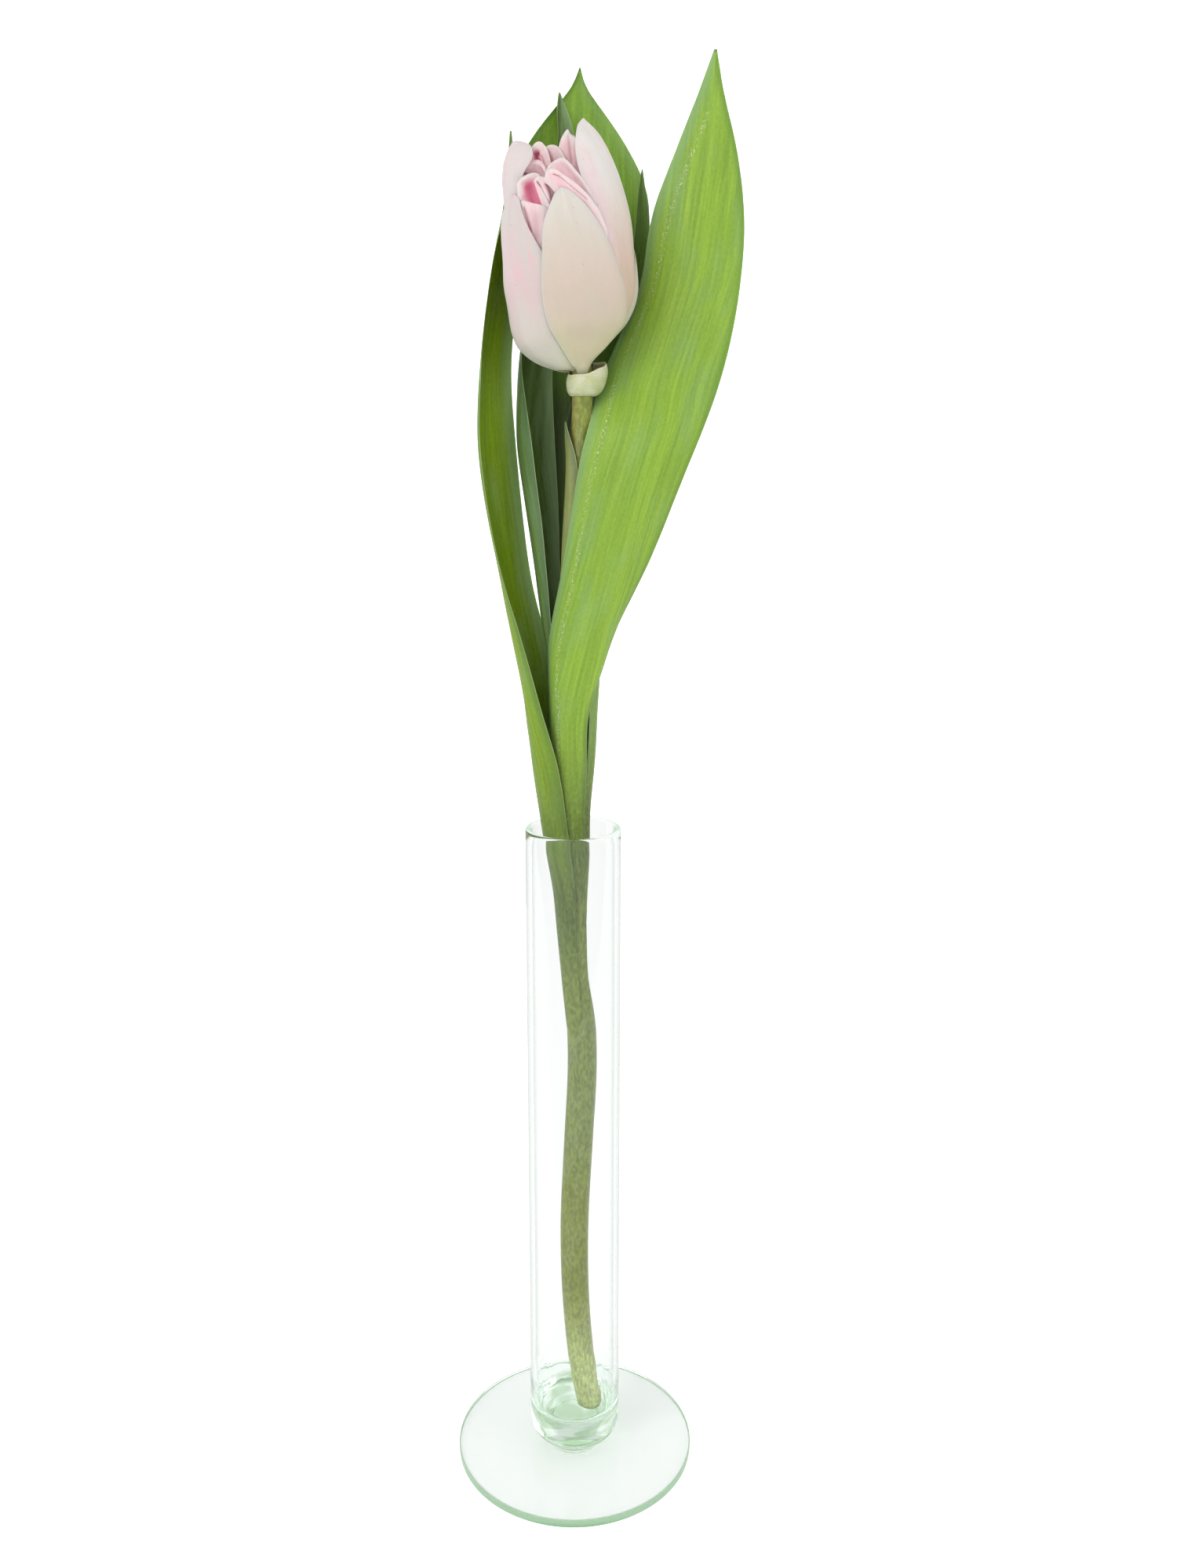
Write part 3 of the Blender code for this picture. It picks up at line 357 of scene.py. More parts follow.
# Inner petals: how deep they lie, the way up of their base, the radius and the angle by which
# the edge turns in as a lip, the crest or top edge as (azimuth, way up), and the hollows as
# (azimuth, width, depth, way up where it starts)
INNER_PETALS = {
    "inner_petal_03": (
        3.9, 4.8, (0.4, 120),
        ((-46, 57), (-34, 59.5), (-20, 58), (-8, 60), (6, 58.5), (16, 55)),
        ((-20, 7, 1.6, 40), (0, 6, 0.8, 40)),
    ),
    "inner_petal_04": (
        3.9, 4.8, (0.4, 120),
        ((36, 52), (50, 57), (62, 58.5), (72, 56.5), (84, 59), (98, 54)),
        ((72, 8, 1.8, 40), (50, 6, 0.8, 40)),
    ),
    "inner_petal_05": (
        3.9, 4.2, (0.4, 120),
        ((108, 52), (120, 57.5), (132, 59), (142, 57.5), (154, 58.5), (164, 53)),
        ((140, 8, 1.6, 40),),
    ),
    "inner_petal_09": (
        5.3, 5.6, (0.4, 130),
        ((2, 56), (14, 60.5), (26, 62), (36, 60), (48, 61.5), (60, 56)),
        ((34, 8, 2, 40), (12, 6, 1, 40)),
    ),
    "inner_petal_10": (
        5.3, 5.6, (0.4, 130),
        ((76, 55), (88, 59.5), (100, 61.5), (110, 59.5), (122, 60.5), (132, 55)),
        ((108, 8, 2, 40),),
    ),
    "inner_petal_14": (
        4.2, 3, (0.45, 140),
        ((164, 53), (175, 57), (186, 58.6), (196, 57), (207, 58), (217, 53)),
        ((192, 8, 1.8, 40),),
    ),
}
# Crumpled petals at the front, seen from VIEWPOINT: points are x and height on an upright plane
# at SEEN_PLANE, and y. Each has the two corners of its foot, its lip, how far it bulges forward,
# its crest, and its folds, from one x and height to another, with their width and depth.
VIEWPOINT = (4.8, -412.1, 339.8)
SEEN_PLANE = -5.0
CRUMPLED_PETALS = {
    "inner_petal_01": (
        ((-14.6, 400, -6.6), (-7.4, 400, -9.6)), (0.45, 160), 0.3,
        ((-15, 409, -7), (-13.8, 410.6, -7.5), (-12.3, 411.5, -7.8), (-10.8, 412, -7.8),
         (-9.4, 411.9, -8), (-8.5, 411, -8.8), (-8, 408.5, -9.6), (-7.4, 404.5, -10.6)),
        ((-11.2, 408.6, -9.5, 404.6, 1.9, 3.2), (-13.2, 406, -13.6, 402, 1.2, 0.6)),
    ),
    "inner_petal_02": (
        ((-6, 409.3, -11), (10, 390, -9)), (0.3, 150), 0,
        ((-7.3, 410, -11.3), (-7.1, 411.6, -11.3), (-6.4, 412.7, -11.2), (-5.3, 413.3, -11.3),
         (-4, 413, -11.3), (-2.4, 412, -11.8), (-0.8, 411, -12.2), (1.2, 409.6, -12.4),
         (3.4, 407.8, -12.4), (5.8, 405.2, -12.1), (7.9, 402.2, -11.6), (10.2, 397, -10.6)),
        ((-4.7, 412.2, -3.3, 411.8, 0.35, 1), (-3, 411.6, 4, 406.2, 0.3, 0.5)),
    ),
    "inner_petal_02b": (
        ((-6.6, 402, -7.6), (8.6, 398, -7.6)), (0.5, 160), 0.4,
        ((-7.2, 411.5, -9.2), (-6.4, 413.4, -8.9), (-5.3, 414.6, -8.8), (-4.1, 415.3, -8.9),
         (-2.9, 415.8, -9.1), (-1.8, 415.6, -9.4), (-0.7, 414.8, -9.7), (0.7, 413.3, -10),
         (2.3, 411.5, -10.2), (4.2, 409, -10.2), (6.4, 405.8, -9.8), (8.6, 401.5, -9)),
        ((-2.2, 415, 1.4, 410.5, 0.9, 0.5),),
    ),
    "inner_petal_06": (
        ((-7.5, 402.4, -10.2), (-4.6, 403.6, -11.9)), (0.25, 120), 0.3,
        ((-10.3, 410.2, -9), (-9.4, 411.2, -9.2), (-8.4, 411.4, -9.6), (-7.5, 411.2, -10),
         (-6.7, 410.6, -10.5), (-6.1, 409.8, -10.9)),
        ((-6.3, 409.6, -4.9, 405, 0.75, 2.6), (-8.3, 409, -5.6, 404.2, 0.25, 0.5),
         (-9.3, 410.2, -8.4, 409.1, 0.3, 1.8)),
    ),
    "inner_petal_07": (
        ((-14.4, 408.5, -1), (-7, 408.5, -2)), (0.9, 170), 0.5,
        ((-14.8, 410.8, -5.2), (-14, 413, -5.6), (-12.9, 414.3, -5.8), (-11.5, 414.8, -5.7),
         (-10.1, 414.9, -5.7), (-8.9, 414.8, -6.1), (-7.9, 414.1, -6.7), (-7.1, 412.9, -7.5),
         (-6.6, 411, -8)),
        ((-13.8, 412.8, -12.4, 412.1, 0.35, 0.8), (-8.2, 413.8, -7.4, 412.2, 0.5, 0.5)),
    ),
    "inner_petal_08": (
        ((-4.4, 407, 1), (4, 406, -2.6)), (0.35, 130), 0.9,
        ((-4, 416.6, -1), (-3.3, 418.9, -1.4), (-2.8, 420.5, -1.8), (-2.2, 421.7, -2.2),
         (-1.5, 422.7, -2.4), (-0.9, 423.2, -2.6), (-0.4, 422.4, -2.6), (0.1, 421.9, -2.8),
         (0.8, 421.6, -3), (1.6, 421, -3.4), (2.8, 419.6, -4), (4.4, 417, -4.6)),
        ((-0.7, 421.8, 0.4, 415, 0.45, 0.5), (2.2, 419, 2.8, 411, 1, 0.9)),
    ),
    "inner_petal_11": (
        ((-11, 408, -1.6), (-6, 408, -3.8)), (0.5, 165), 0.5,
        ((-11.5, 415.6, -3.4), (-11, 418, -3.5), (-10.4, 418.9, -3.6), (-9.7, 419.6, -3.6),
         (-9, 419.9, -3.7), (-8.2, 419.8, -3.9), (-7.4, 419.1, -4.2), (-6.8, 418.2, -4.6),
         (-6.2, 416.8, -5), (-5.6, 414.6, -5.6)),
        ((-9.6, 417.4, -9.2, 414.8, 0.8, 2.8), (-8.9, 417.9, -8.7, 417.2, 0.3, 1.6),
         (-8, 416.6, -7, 413.6, 0.35, 0.5)),
    ),
    "inner_petal_12": (
        ((-8, 407, 0.6), (-2, 407, -1.4)), (0.6, 165), 0.7,
        ((-7.9, 416, -1.6), (-7.1, 418, -1.8), (-6.2, 418.8, -2), (-5.2, 419, -2.2),
         (-4.2, 418.8, -2.5), (-3.3, 418.2, -2.8), (-2.3, 417, -3.2), (-1.2, 415, -3.8)),
        ((-6.3, 417.6, -5, 414.4, 0.5, 0.7),),
    ),
    "inner_petal_13": (
        ((-15.8, 380, -4.6), (-5.6, 380, -10.2)), (0.3, 140), 0,
        ((-15.4, 404, -5.8), (-13.6, 405.1, -7.6), (-12, 404.8, -8.9), (-10.4, 404.4, -9.9),
         (-9, 404.1, -10.5), (-7.6, 403.7, -10.9), (-6, 403, -11.2)),
        ((-12.9, 403.7, -11.3, 397.6, 0.45, 1.1), (-9.4, 402, -9.6, 396, 1.4, 0.5)),
    ),
}
# Where a second petal stands beside a node's own, it stands for that node too
STANDS_FOR = {
    "inner_petal_02b": "inner_petal_02",
    "inner_petal_13": "inner_petal_07",
    "inner_petal_14": "inner_petal_11",
}


def lip_turn(lip, v):
    """How far a lip lies past the crest and how far in, on its arc, as v goes from 1 to 2."""
    radius, angle = lip
    turned_by = np.radians(angle) * np.clip(v - 1, 0, 1)
    return radius * np.sin(turned_by), radius * (1 - np.cos(turned_by))


def crumpled_points(petal, u, v):
    """Points and hollow depths of a crumpled petal; v runs from 0 at its foot to 1 at its crest.

    Between them the points lie on straight lines, bulged forward by a half sine. Each fold pushes
    them back by its depth times a bell of the distance from the fold's line, and fades at the
    crest. Over v from 1 to 2 the lip turns back on an arc. Every point is then carried along its
    line of sight from the upright plane to its own y.
    """
    foot, lip, bulge, crest, folds = petal
    crest = [(number, *point) for number, point in enumerate(crest)]
    top = curve_through(crest, (u + 1) / 2 * (len(crest) - 1) + 0 * v)
    left, right = np.array(foot)
    share = ((u + 1) / 2)[..., None]
    foot = left * (1 - share) + right * share
    rise = np.minimum(v, 1)[..., None]
    x, z, y = np.moveaxis(foot + (top - foot) * rise, -1, 0)
    rise = rise[..., 0]
    hollow = np.zeros_like(x)
    for x0, z0, x1, z1, width, deep in folds:
        run = np.array((x1 - x0, z1 - z0))
        on_line = np.clip(((x - x0) * run[0] + (z - z0) * run[1]) / (run @ run), 0, 1)
        off = np.hypot(x - x0 - on_line * run[0], z - z0 - on_line * run[1])
        hollow = hollow + deep * np.exp(-(off / width)**2)
    hollow = hollow * smooth_step(0, 0.10, 1 - rise)
    past, in_by = lip_turn(lip, v)
    ripple = 0.12 * np.sin(x * 1.7 + z * 0.5)
    y = y + hollow + ripple - bulge * np.sin(math.pi * rise) + in_by
    seen = stacked(x, SEEN_PLANE, z + past)
    reach = (y - VIEWPOINT[1]) / (SEEN_PLANE - VIEWPOINT[1])
    return VIEWPOINT + (seen - VIEWPOINT) * reach[..., None], hollow


def crested_points(petal, u, v):
    """Points and hollow depths of an inner petal; v runs from 0 at its base to 1 at its crest.

    Azimuths narrow towards the base, where the petal sinks under the outer ones. Over v from 1 to
    2 the lip turns in on an arc, which adds its sine to the way up and one minus its cosine to
    the depth.
    """
    deep, base, lip, crest, hollows = petal
    first = crest[0][0]
    last = crest[-1][0]
    top_azimuth = first + (last - first) * (u + 1) / 2
    top = curve_through(crest, top_azimuth)[..., 0]
    past, in_by = lip_turn(lip, v)
    body = np.minimum(v, 1)
    way = base + (top - base) * body + past
    middle = (first + last) / 2
    azimuth = middle + (top_azimuth - middle) * (0.7 + 0.3 * smooth_step(0, 0.6, body))
    hollow = np.zeros_like(way)
    for centre, width, most, low in hollows:
        bell = np.exp(-((azimuth - centre) / width)**2)
        hollow = hollow + most * bell * smooth_step(low, low + 9, way)
    ripple = 0.22 * np.sin(azimuth / 4.3 + way / 9) * smooth_step(20, 45, way)
    sunk = np.maximum(3.4 - deep, 0) * (1 - smooth_step(24, 40, way))
    depth = deep + hollow + ripple + sunk + in_by
    return bud_points(way, azimuth, depth), hollow


def petal_points(rows, u, v):
    """Way up, azimuth and depth of an outer petal's points, u across it and v up it.

    u runs from -1 to 1 and v from 0 to 1. The margins close on their middle over the last few
    millimetres, as the root of one minus the fourth power of the way, which rounds the tip.
    """
    tip_length = 4
    rows = np.array([(*row, 0, 0)[:5] for row in rows], float)
    way = rows[0, 0] + (rows[-1, 0] - rows[0, 0]) * v
    values = eased(curve_through(rows, way[:, 0]), 3)
    first, last, first_layer, last_layer = (column[:, None] for column in values.T)
    tip = np.clip((way - (rows[-1, 0] - tip_length)) / tip_length, 0, 1)
    share = 0.5 + u / 2 * np.sqrt(np.maximum(1 - tip**4, TIP_SHARE))
    azimuth = first + (last - first) * share
    layer = first_layer + (last_layer - first_layer) * share
    return way, azimuth, layer * LAYER


# Meshes

def linked(name, data):
    """A new object of the scene that shows the data."""
    item = bpy.data.objects.new(name, data)
    bpy.context.scene.collection.objects.link(item)
    return item


def as_object(mesh, fields):
    """The object of a mesh, shaded smooth, with a number on each point for every field."""
    for key, values in (fields or {}).items():
        attribute = mesh.attributes.new(key, "FLOAT", "POINT")
        attribute.data.foreach_set("value", np.asarray(values, np.float32).ravel())
    mesh.shade_smooth()
    return linked(mesh.name, mesh)


def mesh_object(name, points, faces, uv=None, fields=None):
    """An object at the origin from points in millimetres, quads, UVs and fields per point."""
    mesh = bpy.data.meshes.new(name)
    points = np.asarray(points, np.float32) * MM
    faces = np.asarray(faces, np.int32)
    starts = np.arange(0, faces.size, faces.shape[1], dtype=np.int32)
    mesh.vertices.add(len(points))
    mesh.vertices.foreach_set("co", points.ravel())
    mesh.loops.add(faces.size)
    mesh.loops.foreach_set("vertex_index", faces.ravel())
    mesh.polygons.add(len(faces))
    mesh.polygons.foreach_set("loop_start", starts)
    mesh.update(calc_edges=True)
    mesh.validate()
    if uv is not None:
        layer = mesh.uv_layers.new(name="UVMap")
        layer.uv.foreach_set("vector", np.asarray(uv, np.float32)[faces.ravel()].ravel())
    return as_object(mesh, fields)


def grid_faces(index):
    """Quads between neighbouring entries of a two-way table of vertex numbers."""
    corners = index[:-1, :-1], index[:-1, 1:], index[1:, 1:], index[1:, :-1]
    return np.stack(corners, axis=-1).reshape(-1, 4)


def lengths_along(points, axis):
    """How far each point lies from the first one, measured along one way of a grid."""
    steps = np.linalg.norm(np.diff(points, axis=axis), axis=-1)
    start = np.zeros_like(np.take(steps, [0], axis=axis))
    return np.concatenate((start, np.cumsum(steps, axis=axis)), axis=axis)


def normals_of(points):
    """Unit normals of a grid of points, across turned into along."""
    normal = np.cross(np.gradient(points, axis=1), np.gradient(points, axis=0))
    return normal / np.maximum(np.linalg.norm(normal, axis=-1, keepdims=True), 1e-9)


def blade(name, middle, thickness, rim=0.12, more=None):
    """A closed leaf or petal round its middle surface, a grid of points in rows up the blade.

    Each side lies half the thickness from the middle, along its normal. The thickness grows from
    rim to full by an S curve over the first 3 mm from the margin. A quarter of a circle rounds it
    off over the last four rims, and the two sides share the points of the margin.
    """
    full_from = 3.0
    round_over = 4 * rim
    rows, columns = middle.shape[:2]
    from_left = lengths_along(middle, 1)
    width = from_left[:, -1:]
    up = lengths_along(middle, 0)
    edge = np.minimum(np.minimum(from_left, width - from_left), np.minimum(up, up[-1:] - up))
    soft = np.sqrt(1 - (1 - np.clip(edge / round_over, 0, 1))**2)
    bulk = rim + (thickness - rim) * smooth_step(0, full_from, edge)
    half = normals_of(middle) * (bulk * soft / 2)[..., None]
    outer = middle + half
    inner = middle - half
    number = np.arange(rows * columns).reshape(rows, columns)
    inside = np.zeros((rows, columns), bool)
    inside[1:-1, 1:-1] = True
    inner_number = number.copy()
    inner_number[inside] = rows * columns + np.arange(inside.sum())
    outer[~inside] = middle[~inside]
    points = np.concatenate((outer.reshape(-1, 3), inner[inside]))
    faces = np.concatenate((grid_faces(number), grid_faces(inner_number)[:, ::-1]))
    rise, share = np.meshgrid(np.linspace(0, 1, rows), np.linspace(0, 1, columns), indexing="ij")
    uv = np.stack((share, rise), axis=-1)
    uv = np.concatenate((uv.reshape(-1, 2), uv[inside]))
    fields = {"across": from_left - width / 2, "along": up, "edge": edge, **(more or {})}
    table = {key: np.concatenate((value.ravel(), value[inside])) for key, value in fields.items()}
    side = np.where(inside, 0.0, 0.5)
    table["inner"] = np.concatenate((side.ravel(), np.ones(inside.sum())))
    return mesh_object(name, points, faces, uv, table)


def revolved(profile, turn):
    """A grid of points: (radius, height) of a profile at each turn, (r cos t, r sin t, z)."""
    radius, height = np.asarray(profile, float).T[..., None]
    return stacked(radius * np.cos(turn), radius * np.sin(turn), height)


def turned(name, profile, steps):
    """A closed solid turned round Z from (radius, height) points that start and end on the axis."""
    turn = np.linspace(0, 2 * math.pi, steps, endpoint=False)
    ends = (0, 0, profile[0][1]), (0, 0, profile[-1][1])
    return ring_stack(name, revolved(profile[1:-1], turn), *ends)


def ring_stack(name, rings, first, last, fields=None):
    """A closed solid from rings of points, each end closed by a fan to one point."""
    count, steps = rings.shape[:2]
    number = np.arange(count * steps).reshape(count, steps)
    number = np.concatenate((number, number[:, :1]), axis=1)
    low = count * steps
    high = low + 1
    quads = grid_faces(number)
    start = np.stack((number[0, 1:], number[0, :-1], np.full(steps, low)), axis=-1)
    end = np.stack((number[-1, :-1], number[-1, 1:], np.full(steps, high)), axis=-1)
    points = np.concatenate((rings.reshape(-1, 3), [first], [last]))
    mesh = bpy.data.meshes.new(name)
    mesh.from_pydata((points * MM).tolist(), [], quads.tolist() + start.tolist() + end.tolist())
    return as_object(mesh, fields)


def place(piece, material, slot, *nodes):
    """Give a piece its material; it rides on the part's one body and stands for the nodes."""
    piece.data.materials.append(material)
    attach(piece, BODY)
    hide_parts(*nodes)


# Materials

def tinted(colour, *shares):
    """Multiples of a colour, none above 1."""
    return [tuple(np.minimum(np.array(colour) * share, 1).tolist()) for share in shares]


NOISE_ROUGHNESS = 0.55


class Nodes:
    """A material's node tree, with one short call for each kind of node."""

    def __init__(self, name):
        self.material = bpy.data.materials.new(name)
        self.material.use_nodes = True
        self.tree = self.material.node_tree
        self.shader = self.tree.nodes["Principled BSDF"]

    def add(self, kind, *values, **settings):
        """Add a node with its properties and the values of its first inputs; gives its outputs."""
        node = self.tree.nodes.new(kind)
        for key, value in settings.items():
            setattr(node, key, value)
        for socket, value in zip(node.inputs, values):
            if value is not None:
                self.feed(socket, value)
        return node.outputs

    def feed(self, socket, value):
        """Link an output, or set a plain value, on a socket."""
        if isinstance(value, bpy.types.NodeSocket):
            self.tree.links.new(value, socket)
        elif isinstance(value, (tuple, list)) and len(value) == 3 and socket.type == "RGBA":
            socket.default_value = (*value, 1)
        else:
            socket.default_value = value

    def fields(self, *names):
        """The numbers stored on the mesh under each of the names."""
        return [self.add("ShaderNodeAttribute", attribute_name=name)["Fac"] for name in names]

    def here(self):
        """The three coordinates of a point of the object, in metres."""
        return self.add("ShaderNodeSeparateXYZ", self.add("ShaderNodeTexCoord")["Object"])

    def calc(self, operation, first, second=0.5, clamp=False):
        """A Math node. The second number is left out where the operation takes one."""
        return self.add("ShaderNodeMath", first, second, operation=operation, use_clamp=clamp)[0]

    def product(self, result, *factors):
        """Several numbers multiplied."""
        for factor in factors:
            result = self.calc("MULTIPLY", result, factor)
        return result

    def stirred(self, value, noise, by):
        """A number moved by a noise, up or down by half of by at most."""
        return self.calc("ADD", value, self.product(self.calc("SUBTRACT", noise, 0.5), by))

    def noise(self, x, y, z, scale, detail):
        """Noise from 0 to 1."""
        where = self.add("ShaderNodeCombineXYZ", x, y, z)[0]
        return self.add("ShaderNodeTexNoise", where, None, scale, detail, NOISE_ROUGHNESS)["Fac"]

    def grain(self, x, x_rate, y, y_rate, layer=0.0, detail=3.0, scale=1.0):
        """Noise over two numbers times their rates. Other layers give other patterns."""
        return self.noise(self.product(x, x_rate), self.product(y, y_rate), layer, scale, detail)

    def in_space(self, scale, detail=3.0, rise=0.5):
        """Noise through space, drawn out up the flower where rise is below 1."""
        x, y, z = self.here()
        return self.noise(x, y, self.product(z, rise), scale, detail)

    def span(self, value, low, high, to_low=0.0, to_high=1.0):
        """A number carried by an S curve from low and high to two others, and held past them."""
        numbers = value, low, high, to_low, to_high
        return self.add("ShaderNodeMapRange", *numbers, interpolation_type="SMOOTHSTEP")[0]

    def mix(self, share, first, second, blend="MIX"):
        """A colour between two. The node's five inputs between are for mixes of other kinds."""
        inputs = share, *[None] * 5, first, second
        return self.add("ShaderNodeMix", *inputs, data_type="RGBA", blend_type=blend)[2]

    def layered(self, tone, *layers):
        """Colours laid over a tone, each as (colour, value, none_at, full_at, most).

        A layer doesn't show where its value is none_at, and is as strong as most where it is
        full_at. Most is 1 where it is left out.
        """
        for colour, value, none_at, full_at, *most in layers:
            tone = self.mix(self.span(value, none_at, full_at, 0.0, *most), tone, colour)
        return tone

    def shaded(self, tone, factor):
        """A tone times a factor or another colour."""
        return self.mix(1.0, tone, factor, "MULTIPLY")

    def mottled(self, tone):
        """A tone in fine grains, some darker and some lighter."""
        return self.shaded(tone, self.span(self.in_space(1100.0), 0.35, 0.65, 0.78, 1.20))

    def bump(self, height, strength, distance, below=None):
        """A bump normal."""
        return self.add("ShaderNodeBump", strength, distance, None, height, below)[0]

    def soft_inside(self, weight, radius, scale):
        """Light that spreads under the surface."""
        self.set(Subsurface_Weight=weight, Subsurface_Radius=radius, Subsurface_Scale=scale)

    def set(self, **values):
        """Set or link the shader's sockets, named with underscores for spaces."""
        for key, value in values.items():
            self.feed(self.shader.inputs[key.replace("_", " ")], value)


def leaf_material(name, face, back, glow, bloom, waxy, shade, glint_strength=0.0):
    """Fresh leaf: soft parallel veins in streaks, lighter bands, and wax along its left margin.

    face and back are the colours of the two sides, glow that of the light bands, bloom that of
    the wax, and waxy is how much of it there is. The face is painted darker towards the leaf's foot,
    over the two distances in shade: a painted shade where the leaves wrap each other. dusty is the
    strength of a line of pale specks beside the left margin, painted glints of light.
    """
    n = Nodes(name)
    across, along, edge, inner = n.fields("across", "along", "edge", "inner")
    veins = n.grain(across, 1.25, along, 0.035)
    bands = n.grain(across, 0.24, along, 0.012, 7.0)
    streaks = n.grain(across, 0.7, along, 0.045, 2.0)
    patches = n.grain(across, 0.12, along, 0.04, 3.0)
    fine = n.grain(across, 1.0, along, 0.5, 5.0, 2.0, 1.6)
    side = n.layered(back, (face, inner, 0.4, 0.6))
    tone = n.layered(
        side, (glow, bands, 0.36, 0.64, 0.8), (glow, streaks, 0.50, 0.70, 0.7),
        (side, streaks, 0.48, 0.30, 0.5))
    tone = n.shaded(tone, n.span(veins, 0.28, 0.72, 0.84, 1.08))
    tone = n.shaded(tone, n.span(fine, 0.3, 0.7, 0.92, 1.05))
    left = n.span(across, 0.5, -0.5)
    near_left = n.product(left, n.span(edge, 5.0, 0.5))
    wax = n.calc("MAXIMUM", near_left, n.span(patches, 0.45, 0.75, 0.0, 0.5))
    tone = n.mix(n.product(wax, waxy), tone, bloom)
    # Painted highlight: a line of pale specks beside the left margin, glints of light painted on.
    line = n.span(n.calc("ABSOLUTE", n.calc("SUBTRACT", edge, 5.6)), 1.3, 0.1)
    speck = n.grain(across, 1.0, along, 0.6, 8.0, 1.0, 2.6)
    painted_glints = n.product(line, left, n.span(speck, 0.54, 0.68), glint_strength)
    tone = n.mix(painted_glints, tone, (0.62, 0.66, 0.45))
    near_right = n.calc("SUBTRACT", n.span(edge, 2.6, 0.4, 0.0, 0.65), left, True)
    tone = n.mix(near_right, tone, n.shaded(side, (0.55, 0.62, 0.9)))
    tone = n.layered(tone, ((0.44, 0.52, 0.26), edge, 0.30, 0.06, 0.6))
    sheath = n.layered(
        (0.082, 0.115, 0.018), ((0.127, 0.168, 0.036), veins, 0.35, 0.65),
        ((0.20, 0.25, 0.10), fine, 0.45, 0.70, 0.5), ((0.205, 0.260, 0.064), along, 34.0, 0.0))
    tone = n.layered(tone, (n.mottled(sheath), along, 90.0, 20.0))
    # Painted shade: the face is darkened towards the leaf's foot, where the leaves wrap each other.
    painted_shade = n.calc("MAXIMUM", n.span(along, *shade, 0.22, 1.0), n.span(inner, 0.6, 0.4))
    tone = n.shaded(tone, painted_shade)
    relief = n.bump(veins, 0.35, 0.0003)
    relief = n.bump(fine, 0.12, 0.0002, relief)
    n.set(Base_Color=tone, Roughness=n.span(patches, 0.3, 0.7, 0.42, 0.56), Normal=relief)
    n.soft_inside(0.10, (0.4, 0.8, 0.2), 0.0012)
    n.set(Specular_IOR_Level=0.28)
    return n.material


def petal_material(name, base, low, middle, top, blush, flushed, spot_at):
    """Fresh petal, with a colour for each stretch of its way up and a blush in soft patches.

    Fine veins run up it, its margin is paler, and faint freckles show here and there. spot_at
    gives one stronger flush: its middle across and along, and its half width and half height.
    """
    n = Nodes(name)
    across, along, edge = n.fields("across", "along", "edge")
    fine = n.grain(across, 1.3, along, 0.045)
    broad = n.grain(across, 0.16, along, 0.05, 4.0, 2.0)
    mottle = n.grain(across, 0.5, along, 0.2, 9.0)
    spot = n.grain(across, 1.0, along, 1.0, 2.0, 1.0, 0.9)
    way = n.stirred(along, broad, 12.0)
    tone = n.layered(base, (low, way, 1.0, 9.0), (middle, way, 8.0, 26.0), (top, way, 26.0, 60.0))
    cast = n.product(n.span(edge, 5.0, 0.5), n.span(way, 26.0, 8.0, 0.0, 0.55))
    tone = n.mix(cast, tone, base)
    tone = n.layered(tone, (base, mottle, 0.45, 0.7, 0.14))
    patches = n.product(n.span(broad, 0.42, 0.72), n.span(mottle, 0.25, 0.7, 0.5, 1.0))
    tone = n.mix(n.product(patches, n.span(way, 14.0, 40.0), flushed), tone, blush)
    aside = n.calc("DIVIDE", n.calc("SUBTRACT", across, spot_at[0]), spot_at[2])
    above = n.calc("DIVIDE", n.calc("SUBTRACT", along, spot_at[1]), spot_at[3])
    off = n.calc("ADD", n.product(aside, aside), n.product(above, above))
    spotted = n.product(n.span(off, 1.2, 0.0), n.span(mottle, 0.3, 0.7, 0.35, 1.0))
    tone = n.mix(spotted, tone, n.mix(0.5, top, blush))
    tone = n.layered(
        tone, (blush, fine, 0.5, 0.78, 0.16), ((0.52, 0.30, 0.24), spot, 0.74, 0.78, 0.35),
        (top, edge, 0.6, 0.1, 0.25))
    relief = n.bump(fine, 0.16, 0.0003)
    relief = n.bump(mottle, 0.10, 0.0008, relief)
    n.set(Base_Color=tone, Roughness=0.5, Normal=relief)
    n.soft_inside(0.35, (1.0, 0.6, 0.5), 0.0014)
    n.set(Sheen_Weight=0.10, Sheen_Roughness=0.4, Specular_IOR_Level=0.30)
    return n.material


def crumpled_material(name, rim, face, deep, streaked):
    """Inner petal: pale along its crest, pink below it, and a painted shade of deeper pink in its
    hollows.

    Level streaks of the deep colour show on its lower part, as strong as streaked.
    """
    n = Nodes(name)
    across, along, edge, hollow = n.fields("across", "along", "edge", "hollow")
    fine = n.grain(across, 1.2, along, 0.07, detail=2.0)
    level = n.grain(across, 0.12, along, 1.5, 6.0)
    broad = n.grain(across, 0.3, along, 0.2, 1.0)
    # Painted shade: the deep colour over the hollows and folds stands for the dim light in them; its
    # patches, grain and streaks elsewhere are the petal's own deep pink.
    tone = n.layered(
        rim, (face, n.stirred(edge, broad, 4.0), 0.4, 4.5), (deep, broad, 0.5, 0.75, 0.25),
        (deep, hollow, 0.15, 1.9, 0.95), (deep, fine, 0.45, 0.75, 0.12))
    lower = n.product(n.span(edge, 5.0, 8.5), streaked)
    tone = n.mix(n.product(n.span(level, 0.40, 0.62, 0.25, 1.0), lower), tone, deep)
    tone = n.layered(tone, (rim, edge, 0.7, 0.15, 0.7))
    rough = n.span(broad, 0.3, 0.7, 0.46, 0.56)
    n.set(Base_Color=tone, Roughness=rough, Normal=n.bump(fine, 0.15, 0.0003))
    n.soft_inside(0.7, (1.0, 0.85, 0.85), 0.0025)
    n.set(Sheen_Weight=0.10, Sheen_Roughness=0.4, Specular_IOR_Level=0.30)
    return n.material


